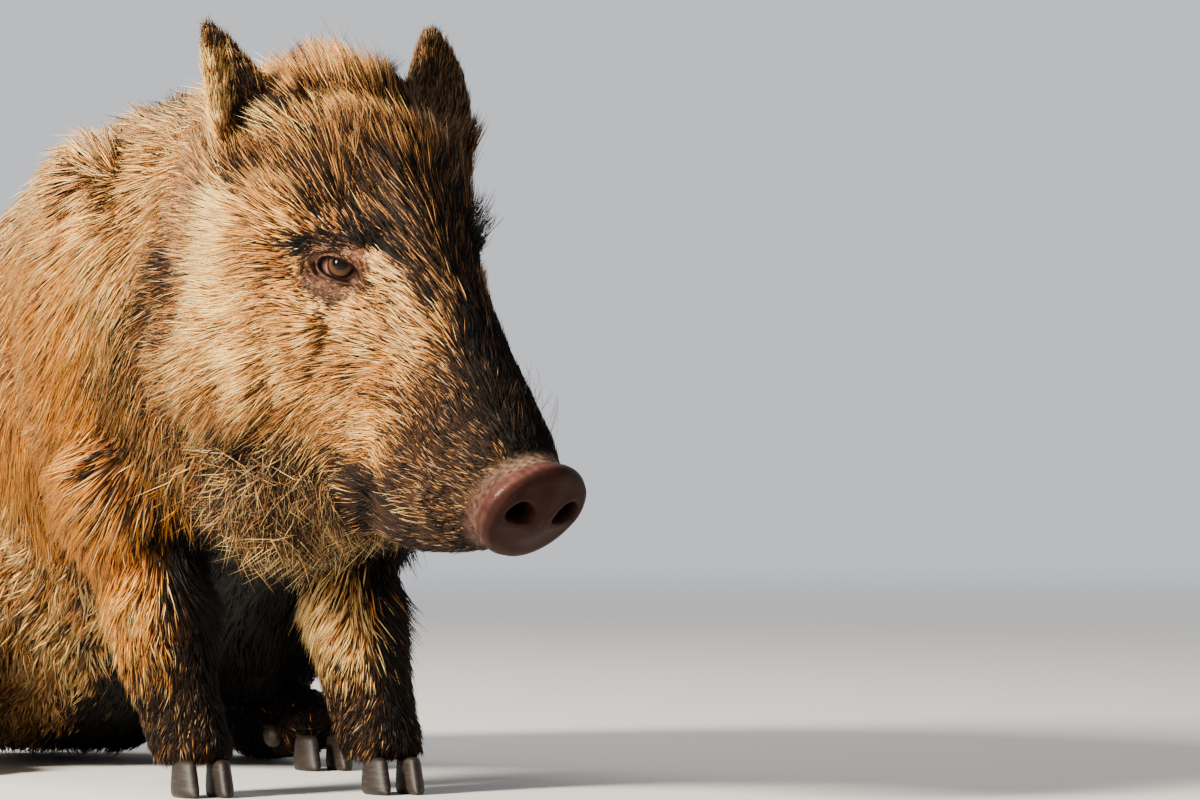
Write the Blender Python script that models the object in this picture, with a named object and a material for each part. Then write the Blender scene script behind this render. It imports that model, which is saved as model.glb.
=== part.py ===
# Wild boar (Sus scrofa), a sow in winter coat. It sits low on its haunches with the
# forelegs braced and the head lowered and turned to its left.
# Metres, +Z up. The boar faces -Y and its left side is +X. The floor is z = 0.
# Outlines are those of the tips of the coat. The body is modelled whole, in one mesh,
# and is then parted into head, neck, trunk, legs and so on by thin cuts.

import math

import bmesh
import bpy
import numpy as np
from mathutils import Matrix, Vector

# ---- Driving sizes ---------------------------------------------------------------
HEAD_LENGTH = 0.351            # occiput to the face of the snout disc
HEAD_TURN = math.radians(26)   # to the boar's left of the trunk
HEAD_DROP = math.radians(28.6)
OCCIPUT = Vector((0.0, -0.170, 0.420))
WITHERS_HEIGHT = 0.520
TRUNK_HALF_WIDTH = 0.156
EAR_SHAPE = {"right": (0.0315, 1.9, 0.70), "left": (0.0380, 2.6, 0.60)}   # half width, bluntness
EAR_ENDS = {"right": ((0.045, 0.058, 0.058), (-0.008, 0.1095, 0.1420)),   # base and tip:
            "left": ((0.055, 0.100, 0.050), (-0.008, 0.1050, 0.1470))}   # forward, out, up
EYE_RADIUS = 0.0125
EYE_PLACE = (0.1461, 0.0536, 0.0327)   # forward, sideways and up from the occiput
EYE_AIM = (0.42, 0.86, 0.24)
DISC_HALF_WIDTH = 0.0430
DISC_HALF_HEIGHT = 0.0390
DISC_DROP = 0.0520             # of its centre below the head's axis
DISC_THICKNESS = 0.016
DISC_LEAN = 0.18                # how far its top leans forward, to its height
HOOF_HEIGHT = 0.028
HOOF_LENGTH = 0.050
HOOF_WIDTH = 0.026
DEWCLAW_FORE = (0.015, 0.043, 0.043)   # sideways, back and up from the foot
DEWCLAW_HIND = (0.028, 0.038, 0.026)
TAIL_RADIUS = 0.013

VOXEL = 0.0038                 # of the mesh that joins the rough forms
SMOOTHING = 7
CUT = 0.0004                   # width of the cuts between the nodes
BODY_FACES = 1900
FLESH_FACES = 3600
SMALLEST_PIECE = 2e-6          # cubic metres; a shaving under this is dropped

RIGHT, LEFT = -1, 1
SIDE_NAME = {RIGHT: "right", LEFT: "left"}

# ---- Frames ----------------------------------------------------------------------
HEAD_FORWARD = Vector((math.sin(HEAD_TURN) * math.cos(HEAD_DROP),
                       -math.cos(HEAD_TURN) * math.cos(HEAD_DROP),
                       -math.sin(HEAD_DROP)))
HEAD_LEFT = Vector((0, 0, 1)).cross(HEAD_FORWARD).normalized()
HEAD_UP = HEAD_FORWARD.cross(HEAD_LEFT)


def on_head(forward, sideways, up):
    """A point given along the head's own axes from the occiput."""
    return OCCIPUT + forward * HEAD_FORWARD + sideways * HEAD_LEFT + up * HEAD_UP


def head_direction(forward, sideways, up):
    return (forward * HEAD_FORWARD + sideways * HEAD_LEFT + up * HEAD_UP).normalized()


# ---- Rough forms -----------------------------------------------------------------
def through(rows, steps=4):
    """Rows of sizes, with smooth in-between rows (a Catmull-Rom spline)."""
    rows = np.array(rows, dtype=float)
    ends = np.vstack([2 * rows[0] - rows[1], rows, 2 * rows[-1] - rows[-2]])
    dense = []
    for i in range(1, len(ends) - 2):
        a, b, c, d = ends[i - 1:i + 3]
        for t in np.arange(steps) / steps:
            dense.append(0.5 * (2 * b + (c - a) * t + (2 * a - 5 * b + 4 * c - d) * t ** 2
                                + (3 * b - a - 3 * c + d) * t ** 3))
    dense.append(rows[-1])
    return np.array(dense).tolist()


def section(centre, across, up, half_width, above, below, power=2.0, sides=28):
    """Points of a rounded section; above and below are its heights over its widest level."""
    points = []
    for k in range(sides):
        angle = 2 * math.pi * k / sides
        c, s = math.cos(angle), math.sin(angle)
        height = above if s > 0 else below
        x = half_width * math.copysign(abs(c) ** (2 / power), c)
        z = height * math.copysign(abs(s) ** (2 / power), s)
        points.append(centre + across * x + up * z)
    return points


def add_loft(bm, sections):
    """Skins a list of sections and closes both ends."""
    rings = [[bm.verts.new(p) for p in points] for points in sections]
    sides = len(rings[0])
    for lower, upper in zip(rings, rings[1:]):
        for k in range(sides):
            n = (k + 1) % sides
            bm.faces.new((lower[k], lower[n], upper[n], upper[k]))
    bm.faces.new(list(reversed(rings[0])))
    bm.faces.new(rings[-1])


def add_tube(bm, rows, steps=4, sides=20):
    """A limb through rows of x, y, z, half width across and half depth."""
    rows = through(rows, steps)
    places = [Vector(row[:3]) for row in rows]
    sections = []
    for i, row in enumerate(rows):
        along = (places[min(i + 1, len(rows) - 1)] - places[max(i - 1, 0)]).normalized()
        across = (Vector((1, 0, 0)) - along * along.x).normalized()
        sections.append(section(places[i], across, across.cross(along),
                                row[3], row[4], row[4], sides=sides))
    add_loft(bm, sections)


def add_blob(bm, centre, radii, axes=None):
    """An ellipsoid whose radii lie along the given axes."""
    axes = axes or (Vector((1, 0, 0)), Vector((0, 1, 0)), Vector((0, 0, 1)))
    turn = Matrix([list(a) for a in axes]).transposed().to_4x4()
    place = Matrix.Translation(centre) @ turn @ Matrix.Diagonal((*radii, 1))
    bmesh.ops.create_uvsphere(bm, u_segments=24, v_segments=16, radius=1, matrix=place)


def add_head_blob(bm, forward, sideways, up, radii):
    add_blob(bm, on_head(forward, sideways, up), radii, (HEAD_FORWARD, HEAD_LEFT, HEAD_UP))


def add_trunk(bm):
    w = TRUNK_HALF_WIDTH
    top = WITHERS_HEIGHT
    # y, middle x, top, widest level, bottom, half width
    rows = [(-0.215, 0.010, 0.390, 0.300, 0.230, 0.030),
            (-0.195, 0.010, 0.440, 0.300, 0.200, 0.080),
            (-0.140, 0.012, top - 0.022, 0.320, 0.178, 0.81 * w),
            (-0.060, 0.010, top - 0.002, 0.330, 0.165, 0.93 * w),
            (0.020, 0.006, top, 0.320, 0.160, w),
            (0.120, 0.002, top - 0.010, 0.290, 0.120, 0.98 * w),
            (0.220, 0.000, top - 0.030, 0.250, 0.065, 0.97 * w),
            (0.320, 0.000, top - 0.060, 0.215, 0.020, 0.97 * w),
            (0.420, 0.000, top - 0.112, 0.180, -0.012, 0.95 * w),
            (0.505, 0.000, top - 0.190, 0.140, -0.016, 0.84 * w),
            (0.570, 0.000, top - 0.295, 0.110, -0.004, 0.62 * w),
            (0.602, 0.000, top - 0.370, 0.095, 0.035, 0.25 * w)]
    sections = []
    for y, x, high, level, low, half in through(rows):
        sections.append(section(Vector((x, y, level)), Vector((1, 0, 0)), Vector((0, 0, 1)),
                                half, high - level, level - low, power=2.15, sides=32))
    add_loft(bm, sections)
    for side in (RIGHT, LEFT):
        x = 0.010 + side * 0.104
        add_blob(bm, (x, -0.030, 0.345), (0.058, 0.115, 0.150))     # shoulder blade
        add_blob(bm, (x - side * 0.012, -0.060, 0.235), (0.055, 0.085, 0.085))   # upper arm
        add_blob(bm, (side * 0.105, 0.350, 0.205), (0.075, 0.150, 0.165))    # haunch


def add_neck(bm):
    rows = [(0.010, 0.020, 0.345, 0.120, 0.160),
            (0.010, -0.080, 0.352, 0.122, 0.158),
            (0.012, -0.160, 0.352, 0.112, 0.158),
            (0.026, -0.225, 0.345, 0.100, 0.145)]
    add_tube(bm, rows)
    add_blob(bm, (0.020, -0.175, 0.245), (0.082, 0.078, 0.086))     # throat bristles
    add_blob(bm, (0.050, -0.215, 0.265), (0.070, 0.070, 0.080))
    add_blob(bm, (0.004, -0.080, 0.450), (0.060, 0.110, 0.072))     # mane on the neck
    add_head_blob(bm, 0.020, 0.008, 0.088, (0.060, 0.070, 0.052))   # crown tuft


def add_skull(bm):
    # forward, top, widest level, bottom, half width, squareness
    rows = [(-0.045, 0.080, 0.000, -0.110, 0.068, 2.0),
            (0.000, 0.110, 0.006, -0.142, 0.090, 2.1),
            (0.050, 0.121, 0.016, -0.156, 0.103, 2.25),
            (0.100, 0.113, 0.020, -0.160, 0.097, 2.3),
            (0.150, 0.086, 0.008, -0.158, 0.073, 2.1),
            (0.200, 0.056, -0.010, -0.152, 0.057, 2.15),
            (0.250, 0.029, -0.034, -0.137, 0.046, 2.3),
            (0.290, 0.010, -0.048, -0.117, 0.043, 2.4),
            (0.318, -0.005, -0.052, -0.100, 0.040, 2.4),
            (0.334, -0.015, -0.052, -0.090, 0.037, 2.3)]
    sections = []
    for forward, high, level, low, half, power in through(rows):
        sections.append(section(on_head(forward, 0, level), HEAD_LEFT, HEAD_UP,
                                half, high - level, level - low, power))
    add_loft(bm, sections)
    for side in (RIGHT, LEFT):
        add_head_blob(bm, 0.126, side * 0.053, 0.048, (0.040, 0.020, 0.022))     # brow
        add_head_blob(bm, 0.110, side * 0.068, -0.010, (0.060, 0.022, 0.028))    # cheekbone
        add_head_blob(bm, 0.066, side * 0.066, -0.075, (0.074, 0.038, 0.064))    # jowl
        add_head_blob(bm, 0.268, side * 0.038, -0.070, (0.046, 0.015, 0.022))    # lip


def add_disc(bm):
    """The snout disc: an oval, broader above, slightly domed, its top leaning forward."""
    sections = []
    for depth, size in ((-0.022, 0.80), (-0.014, 0.96), (-0.008, 1.0), (-0.002, 0.97),
                        (0.001, 0.86), (0.0032, 0.52)):
        points = []
        for k in range(36):
            angle = 2 * math.pi * k / 36
            c, s = math.cos(angle), math.sin(angle)
            points.append(on_head(HEAD_LENGTH + depth + DISC_LEAN * DISC_HALF_HEIGHT * s,
                                  size * DISC_HALF_WIDTH * (1 + 0.05 * s) * c,
                                  size * DISC_HALF_HEIGHT * s - DISC_DROP))
        sections.append(points)
    add_loft(bm, sections)


def ear_axes(side):
    """Base, direction, hollow side and width direction of an ear."""
    base, tip = (on_head(forward, side * out, up)
                 for forward, out, up in EAR_ENDS[SIDE_NAME[side]])
    along = (tip - base).normalized()
    hollow = head_direction(1.0, side * 0.02, 0.10)
    hollow = (hollow - along * hollow.dot(along)).normalized()
    return base, tip, along, hollow, along.cross(hollow)


def add_ear(bm, side):
    """An erect, cupped, pointed ear, hollow towards the front."""
    base, tip, along, hollow, across = ear_axes(side)
    half_width, blunt, taper = EAR_SHAPE[SIDE_NAME[side]]
    sections = []
    for t in np.linspace(0, 1, 15).tolist():
        half = max(half_width * min(0.80 + t, 1) * (1 - t ** blunt) ** taper, 0.0060)
        cup = 0.50 * half * (1 - 0.5 * t)
        thick = 0.0066 - 0.0022 * t
        outer, inner = [], []
        for s in np.linspace(-1, 1, 11).tolist():
            lift = cup * (s * s - 0.5)
            rim = thick * math.sqrt(max(1 - 0.75 * s * s, 0))
            middle = base.lerp(tip, t) + across * (s * half)
            outer.append(middle + hollow * (lift - rim))
            inner.append(middle + hollow * (lift + rim))
        sections.append(outer + inner[::-1])
    add_loft(bm, sections)


FORELEG = {  # x, y, z, half width, half depth, from the shoulder down to the hoof
    RIGHT: [(-0.070, -0.040, 0.250, 0.050, 0.060), (-0.061, -0.072, 0.180, 0.048, 0.053),
            (-0.058, -0.100, 0.115, 0.039, 0.042), (-0.052, -0.116, 0.072, 0.033, 0.036),
            (-0.046, -0.130, 0.046, 0.030, 0.032), (-0.042, -0.138, 0.024, 0.026, 0.026)],
    LEFT: [(0.090, -0.040, 0.250, 0.050, 0.060), (0.090, -0.072, 0.180, 0.045, 0.052),
           (0.090, -0.100, 0.115, 0.038, 0.042), (0.093, -0.116, 0.072, 0.034, 0.036),
           (0.097, -0.130, 0.046, 0.031, 0.032), (0.101, -0.138, 0.024, 0.026, 0.026)]}


def hindleg_rows(side):
    """Shank down and back to the hock, then the cannon forward along the floor."""
    return [[(side * 0.130, 0.250, 0.190, 0.040, 0.060), (side * 0.150, 0.320, 0.110, 0.036, 0.050),
             (side * 0.156, 0.395, 0.066, 0.031, 0.042), (side * 0.158, 0.430, 0.044, 0.026, 0.032)],
            [(side * 0.158, 0.476, 0.044, 0.012, 0.016), (side * 0.158, 0.460, 0.040, 0.025, 0.034),
             (side * 0.157, 0.420, 0.036, 0.028, 0.036), (side * 0.154, 0.340, 0.034, 0.026, 0.029),
             (side * 0.151, 0.275, 0.038, 0.027, 0.028), (side * 0.150, 0.240, 0.036, 0.027, 0.024),
             (side * 0.150, 0.220, 0.032, 0.023, 0.018)]]


def add_tail(bm):
    add_tube(bm, [(0.000, 0.555, 0.200, 0.018, 0.018), (0.004, 0.605, 0.176, 0.014, 0.014),
                  (0.012, 0.632, 0.120, 0.011, 0.011), (0.020, 0.640, 0.062, 0.010, 0.010),
                  (0.030, 0.646, 0.026, TAIL_RADIUS, 0.014), (0.048, 0.652, 0.010, 0.014, 0.011),
                  (0.066, 0.656, 0.004, 0.006, 0.006)], sides=14)


# ---- One mesh, and the cuts ------------------------------------------------------
def new_object(name, bm):
    """Closes a bmesh into a new object with its faces pointing out."""
    bmesh.ops.recalc_face_normals(bm, faces=bm.faces)
    mesh = bpy.data.meshes.new(name)
    bm.to_mesh(mesh)
    bm.free()
    obj = bpy.data.objects.new(name, mesh)
    bpy.context.scene.collection.objects.link(obj)
    return obj


def applied(obj, kind, **settings):
    """Runs one modifier and keeps its result as the object's mesh."""
    modifier = obj.modifiers.new(kind.title(), kind)
    for key, value in settings.items():
        setattr(modifier, key, value)
    bpy.context.view_layer.update()
    result = bpy.data.meshes.new_from_object(
        obj.evaluated_get(bpy.context.evaluated_depsgraph_get()))
    obj.modifiers.clear()
    old, obj.data = obj.data, result
    bpy.data.meshes.remove(old)


def subtract(obj, cutter, keep_cutter=False):
    applied(obj, "BOOLEAN", object=cutter, operation="DIFFERENCE", solver="EXACT")
    if not keep_cutter:
        bpy.data.objects.remove(cutter)


def weigh_body(obj):
    """A vertex group that holds all but the head, the ears and the feet."""
    group = obj.vertex_groups.new(name="body")
    for vertex in obj.data.vertices:
        from_head = min((vertex.co - on_head(0.22, 0, -0.04)).length,
                        (vertex.co - on_head(0.07, 0, 0.06)).length)
        if from_head > 0.155 and vertex.co.z > 0.06:
            group.add([vertex.index], 1.0, "REPLACE")
    return group


def whole_flesh():
    """Every rough form, joined into one closed and smooth mesh with flats on the floor."""
    bm = bmesh.new()
    add_trunk(bm)
    add_neck(bm)
    add_skull(bm)
    add_disc(bm)
    add_tail(bm)
    for side in (RIGHT, LEFT):
        add_ear(bm, side)
        add_tube(bm, FORELEG[side])
        for rows in hindleg_rows(side):
            add_tube(bm, rows)
    flesh = new_object("flesh", bm)
    applied(flesh, "REMESH", mode="VOXEL", voxel_size=VOXEL, adaptivity=0)
    applied(flesh, "SMOOTH", factor=0.5, iterations=SMOOTHING)
    applied(flesh, "TRIANGULATE")
    group = weigh_body(flesh)
    count = len(flesh.data.polygons)
    body = sum(1 for vertex in flesh.data.vertices if vertex.groups) * 2
    applied(flesh, "DECIMATE", ratio=(count - body + BODY_FACES) / count,
            vertex_group=group.name, vertex_group_factor=1.0)
    flesh.vertex_groups.clear()
    applied(flesh, "DECIMATE", ratio=FLESH_FACES / len(flesh.data.polygons))
    bm = bmesh.new()
    bm.from_mesh(flesh.data)
    parts = bmesh.ops.bisect_plane(bm, geom=bm.verts[:] + bm.edges[:] + bm.faces[:],
                                   plane_co=(0, 0, 0), plane_no=(0, 0, -1), clear_outer=True)
    rim = [e for e in parts["geom_cut"] if isinstance(e, bmesh.types.BMEdge)]
    bmesh.ops.holes_fill(bm, edges=rim, sides=0)
    bmesh.ops.triangulate(bm, faces=[f for f in bm.faces if len(f.verts) > 3])
    bm.to_mesh(flesh.data)
    bm.free()
    return flesh


def blade(origin, a, b, c, path, low, high):
    """A thin folded blade: a path along a and b, drawn out along c from low to high."""
    path = [Vector(p) for p in path]
    offsets = []
    for i, point in enumerate(path):
        before = (point - path[i - 1]).normalized() if i else None
        after = (path[i + 1] - point).normalized() if i + 1 < len(path) else None
        along = ((before or after) + (after or before)).normalized()
        normal = Vector((-along.y, along.x))
        straight = along.dot(after or before)
        offsets.append(normal * (CUT / 2 / straight))
    outline = [p + o for p, o in zip(path, offsets)] + [p - o for p, o in zip(path, offsets)][::-1]
    bm = bmesh.new()
    rings = [[bm.verts.new(origin + a * p.x + b * p.y + c * reach) for p in outline]
             for reach in (low, high)]
    sides = len(outline)
    half = len(path)
    for k in range(sides):
        n = (k + 1) % sides
        bm.faces.new((rings[0][k], rings[0][n], rings[1][n], rings[1][k]))
    for ring in rings:
        for k in range(half - 1):
            bm.faces.new((ring[k], ring[k + 1], ring[sides - 2 - k], ring[sides - 1 - k]))
    return new_object("blade", bm)


X, Y, Z = Vector((1, 0, 0)), Vector((0, 1, 0)), Vector((0, 0, 1))
ORIGIN = Vector((0, 0, 0))


def cut_head(flesh):
    frame = (OCCIPUT, HEAD_FORWARD, HEAD_UP, HEAD_LEFT)
    disc_back = HEAD_LENGTH - DISC_THICKNESS
    subtract(flesh, blade(*frame, [(disc_back + 0.016, 0.05), (disc_back - 0.015, -0.15)],
                          -0.08, 0.08))
    subtract(flesh, blade(*frame, [(0.40, -0.100), (0.334, -0.095), (0.300, -0.0885), (0.262, -0.086),
                                   (0.228, -0.096), (0.205, -0.195)], -0.09, 0.09))
    subtract(flesh, blade(*frame, [(-0.035, 0.20), (-0.022, -0.085), (0.040, -0.138),
                                   (0.160, -0.158), (0.245, -0.215)], -0.20, 0.20))
    for side in (RIGHT, LEFT):
        base, tip, along, hollow, across = ear_axes(side)
        subtract(flesh, blade(base.lerp(tip, 0.70), across, along, hollow,
                              [(-0.050, 0), (0.050, 0)], -0.035, 0.035))


def cut_body(flesh):
    subtract(flesh, blade(ORIGIN, Y, Z, X, [(-0.075, 0.62), (-0.105, 0.30), (-0.150, 0.205),
                                            (-0.172, 0.160), (-0.200, 0.115)], -0.25, 0.25))
    subtract(flesh, blade(ORIGIN, Y, Z, X, [(0.120, 0.62), (0.120, 0.080)], -0.25, 0.25))
    subtract(flesh, blade(ORIGIN, Y, Z, X, [(0.590, 0.225), (0.608, 0.120)], -0.05, 0.05))
    for side in (RIGHT, LEFT):
        subtract(flesh, blade(ORIGIN, X, Y, Z, [(side * 0.32, 0.160), (side * 0.125, 0.160),
                                                (side * 0.106, 0.185), (side * 0.106, 0.60)],
                              -0.05, 0.50))
        middle = FORELEG[side][1][0]
        subtract(flesh, blade(ORIGIN, X, Z, Y, [(middle - 0.068, 0.150), (middle + 0.068, 0.150)],
                              -0.165, -0.012))


def ellipsoid(centre, radii, axes, name="form", segments=14):
    bm = bmesh.new()
    turn = Matrix([list(a) for a in axes]).transposed().to_4x4()
    place = Matrix.Translation(centre) @ turn @ Matrix.Diagonal((*radii, 1))
    bmesh.ops.create_uvsphere(bm, u_segments=segments, v_segments=segments * 2 // 3,
                              radius=1, matrix=place)
    return new_object(name, bm)


def eye_axes(side):
    """Outward, forward and up axes of an eye."""
    aim = head_direction(EYE_AIM[0], side * EYE_AIM[1], EYE_AIM[2])
    ahead = (HEAD_FORWARD - aim * HEAD_FORWARD.dot(aim)).normalized()
    return aim, ahead, aim.cross(ahead)


def cut_openings(flesh):
    """Eye sockets and nostrils."""
    for side in (RIGHT, LEFT):
        axes = eye_axes(side)
        centre = on_head(EYE_PLACE[0], side * EYE_PLACE[1], EYE_PLACE[2])
        socket = EYE_RADIUS + CUT
        subtract(flesh, ellipsoid(centre, (socket,) * 3, axes))
        subtract(flesh, ellipsoid(centre + axes[0] * 1.55 * EYE_RADIUS, (0.016, 0.0165, 0.0100),
                                  axes))
        nostril = on_head(HEAD_LENGTH + 0.002, side * 0.0215, -DISC_DROP + 0.004)
        subtract(flesh, ellipsoid(nostril, (0.011, 0.0085, 0.0065),
                                  (HEAD_FORWARD, HEAD_LEFT, HEAD_UP), segments=10))


# ---- Hooves and dewclaws ---------------------------------------------------------
def hoof(name, place, inner):
    """One claw: a flat sole, a sloping toe and a straight inner wall; inner is -1 or 1."""
    def outline(length, width, back, z):
        points = []
        for k in range(12):
            angle = 2 * math.pi * k / 12
            c, s = math.cos(angle), math.sin(angle)
            ahead = length * (0.5 - 0.5 * c) ** 0.9
            x = width * s * (0.55 if s * inner > 0 else 1.0) * (1 - 0.35 * ahead / length)
            points.append(place + Vector((x, back - ahead, z)))
        return points
    top = HOOF_HEIGHT - CUT
    sections = [outline(HOOF_LENGTH, 0.5 * HOOF_WIDTH, 0.016, 0),
                outline(HOOF_LENGTH, 0.56 * HOOF_WIDTH, 0.016, 0.004),
                outline(0.88 * HOOF_LENGTH, 0.52 * HOOF_WIDTH, 0.015, 0.5 * top),
                outline(0.70 * HOOF_LENGTH, 0.46 * HOOF_WIDTH, 0.013, top)]
    bm = bmesh.new()
    add_loft(bm, sections)
    return new_object(name, bm)


def foot(flesh, name, place, dewclaw):
    """Cuts the leg off above its two claws, and sets two dewclaws on it."""
    x, y = place
    subtract(flesh, box((x, y - 0.004, HOOF_HEIGHT / 2 - 0.02), (0.080, 0.074, HOOF_HEIGHT + 0.04)))
    pieces = []
    for which, inner in (("outer", -1 if x > 0.05 else 1), ("inner", 1 if x > 0.05 else -1)):
        across = -inner * 0.0108
        pieces.append(hoof("hoof_%s_%s" % (name, which), Vector((x + across, y, 0)), inner))
        axes = (X, Y, Z)
        claw = Vector((x - inner * dewclaw[0], y + dewclaw[1], dewclaw[2]))
        radii = Vector((0.0085, 0.0125, 0.0105))
        subtract(flesh, ellipsoid(claw, radii + Vector((CUT,) * 3), axes, segments=8))
        pieces.append(ellipsoid(claw, radii, axes, "dewclaw_%s_%s" % (name, which), segments=8))
    return pieces


def box(centre, sizes):
    bm = bmesh.new()
    bmesh.ops.create_cube(bm, size=1, matrix=Matrix.Translation(centre) @ Matrix.Diagonal((*sizes, 1)))
    return new_object("box", bm)


# ---- Parting into nodes ----------------------------------------------------------
SEEDS = {"head": on_head(0.120, 0, 0.000),
         "lower_jaw": on_head(0.265, 0, -0.105),
         "snout_disc": on_head(0.343, 0, -DISC_DROP),
         "ear_right": on_head(0.005, RIGHT * 0.097, 0.115),
         "ear_left": on_head(0.005, LEFT * 0.097, 0.115),
         "neck": Vector((0.020, -0.160, 0.340)),
         "trunk_front": Vector((0.010, 0.000, 0.330)),
         "trunk_rear": Vector((0.000, 0.340, 0.220)),
         "tail": Vector((0.020, 0.635, 0.080)),
         "foreleg_right": Vector((-0.055, -0.105, 0.090)),
         "foreleg_left": Vector((0.092, -0.105, 0.090)),
         "hindleg_right": Vector((-0.145, 0.350, 0.150)),
         "hindleg_left": Vector((0.145, 0.350, 0.150))}


def loose_parts(obj):
    """The separate closed bodies of a mesh, each with its volume and centroid."""
    bm = bmesh.new()
    bm.from_mesh(obj.data)
    bmesh.ops.triangulate(bm, faces=bm.faces[:])
    left = set(bm.verts)
    parts = []
    while left:
        stack = [left.pop()]
        group = set(stack)
        while stack:
            for edge in stack.pop().link_edges:
                for vertex in edge.verts:
                    if vertex in left:
                        left.discard(vertex)
                        group.add(vertex)
                        stack.append(vertex)
        faces = {f for v in group for f in v.link_faces}
        volume, moment = 0.0, Vector()
        for face in faces:
            p, q, r = (v.co for v in face.verts)
            piece = p.dot(q.cross(r)) / 6
            volume += piece
            moment += piece * (p + q + r) / 4
        parts.append((volume, moment / volume if volume else moment, group, faces))
    return bm, parts


def part_into_nodes(flesh):
    bm, parts = loose_parts(flesh)
    nodes = []
    for volume, centroid, group, faces in parts:
        if volume < SMALLEST_PIECE:
            continue
        name = min(SEEDS, key=lambda n: (SEEDS[n] - centroid).length)
        index = {}
        piece = bmesh.new()
        for vertex in sorted(group, key=lambda v: v.index):
            index[vertex] = piece.verts.new(vertex.co)
        for face in sorted(faces, key=lambda f: f.index):
            piece.faces.new([index[v] for v in face.verts])
        nodes.append(new_object(name, piece))
    bm.free()
    bpy.data.objects.remove(flesh)
    return nodes


# ---- Materials and assembly ------------------------------------------------------
LOOKS = {"coat": ((0.26, 0.16, 0.085), 0.8, ("head", "neck", "trunk", "tail", "foreleg",
                                             "hindleg", "ear", "lower_jaw")),
         "snout": ((0.115, 0.062, 0.055), 0.35, ("snout_disc",)),
         "eye": ((0.045, 0.022, 0.012), 0.08, ("eye",)),
         "horn": ((0.055, 0.045, 0.038), 0.5, ("hoof", "dewclaw"))}


def look_for(name):
    return next(look for look, row in LOOKS.items() if name.startswith(row[2]))


def give_material(obj):
    look = look_for(obj.name)
    material = bpy.data.materials.new(look + "_" + obj.name)
    material.use_nodes = True
    shader = material.node_tree.nodes["Principled BSDF"]
    colour, roughness, _ = LOOKS[look]
    shader.inputs["Base Color"].default_value = (*colour, 1)
    shader.inputs["Roughness"].default_value = roughness
    shader.inputs["Metallic"].default_value = 0
    obj.data.materials.append(material)
    obj.data.shade_smooth()
    obj.data.set_sharp_from_angle(angle=math.radians(50))


def centre_over_origin(objects):
    """Puts the middle of the whole boar's floor rectangle at the origin."""
    points = np.array([v.co[:2] for obj in objects for v in obj.data.vertices])
    middle = (points.min(axis=0) + points.max(axis=0)) / 2
    for obj in objects:
        obj.data.transform(Matrix.Translation((-middle[0], -middle[1], 0)))


def build():
    for obj in list(bpy.data.objects):
        bpy.data.objects.remove(obj)
    flesh = whole_flesh()
    cut_openings(flesh)
    nodes = []
    for side in (RIGHT, LEFT):
        end = FORELEG[side][-1]
        nodes += foot(flesh, "fore_" + SIDE_NAME[side], (end[0], end[1] - 0.006), DEWCLAW_FORE)
        end = hindleg_rows(side)[1][-1]
        nodes += foot(flesh, "hind_" + SIDE_NAME[side], (end[0], end[1] - 0.004), DEWCLAW_HIND)
        centre = on_head(EYE_PLACE[0], side * EYE_PLACE[1], EYE_PLACE[2])
        nodes.append(ellipsoid(centre, (EYE_RADIUS,) * 3, eye_axes(side),
                               "eye_" + SIDE_NAME[side]))
    cut_head(flesh)
    cut_body(flesh)
    nodes += part_into_nodes(flesh)
    centre_over_origin(nodes)
    for obj in nodes:
        give_material(obj)


build()
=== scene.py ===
# Looks of the wild boar: one skin over the whole body, with lids, snout disc and lips in it,
# a coat of solid bristles that follows the lie of the fur, glossy eyes and horn hooves.
# Metres, +Z up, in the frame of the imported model. The boar faces -Y; its left side is +X.
import math
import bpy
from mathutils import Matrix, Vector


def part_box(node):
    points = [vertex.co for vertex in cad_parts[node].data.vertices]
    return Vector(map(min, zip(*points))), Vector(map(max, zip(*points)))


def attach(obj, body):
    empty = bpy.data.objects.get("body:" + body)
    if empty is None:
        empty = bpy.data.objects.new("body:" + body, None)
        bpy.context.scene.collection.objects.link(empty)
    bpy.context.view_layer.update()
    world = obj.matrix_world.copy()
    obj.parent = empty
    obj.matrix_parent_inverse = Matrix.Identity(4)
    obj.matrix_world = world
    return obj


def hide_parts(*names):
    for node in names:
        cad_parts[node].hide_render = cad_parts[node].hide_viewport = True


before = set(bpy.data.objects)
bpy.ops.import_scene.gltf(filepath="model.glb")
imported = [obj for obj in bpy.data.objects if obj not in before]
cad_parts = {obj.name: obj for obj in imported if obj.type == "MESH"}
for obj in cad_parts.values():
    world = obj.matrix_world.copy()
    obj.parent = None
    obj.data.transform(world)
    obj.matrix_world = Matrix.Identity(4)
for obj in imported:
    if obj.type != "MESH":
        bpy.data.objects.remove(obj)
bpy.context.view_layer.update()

from copy import copy

import bmesh
import bpy
import numpy as np
from mathutils import Matrix, Vector
from mathutils.bvhtree import BVHTree
from mathutils.kdtree import KDTree

MM = 0.001
SIDES = {"right": -1, "left": 1}
FLESH = ["head", "lower_jaw", "snout_disc", "ear_right", "ear_left", "neck", "trunk_front",
         "trunk_rear", "tail", "foreleg_right", "foreleg_left", "hindleg_right", "hindleg_left"]

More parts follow.
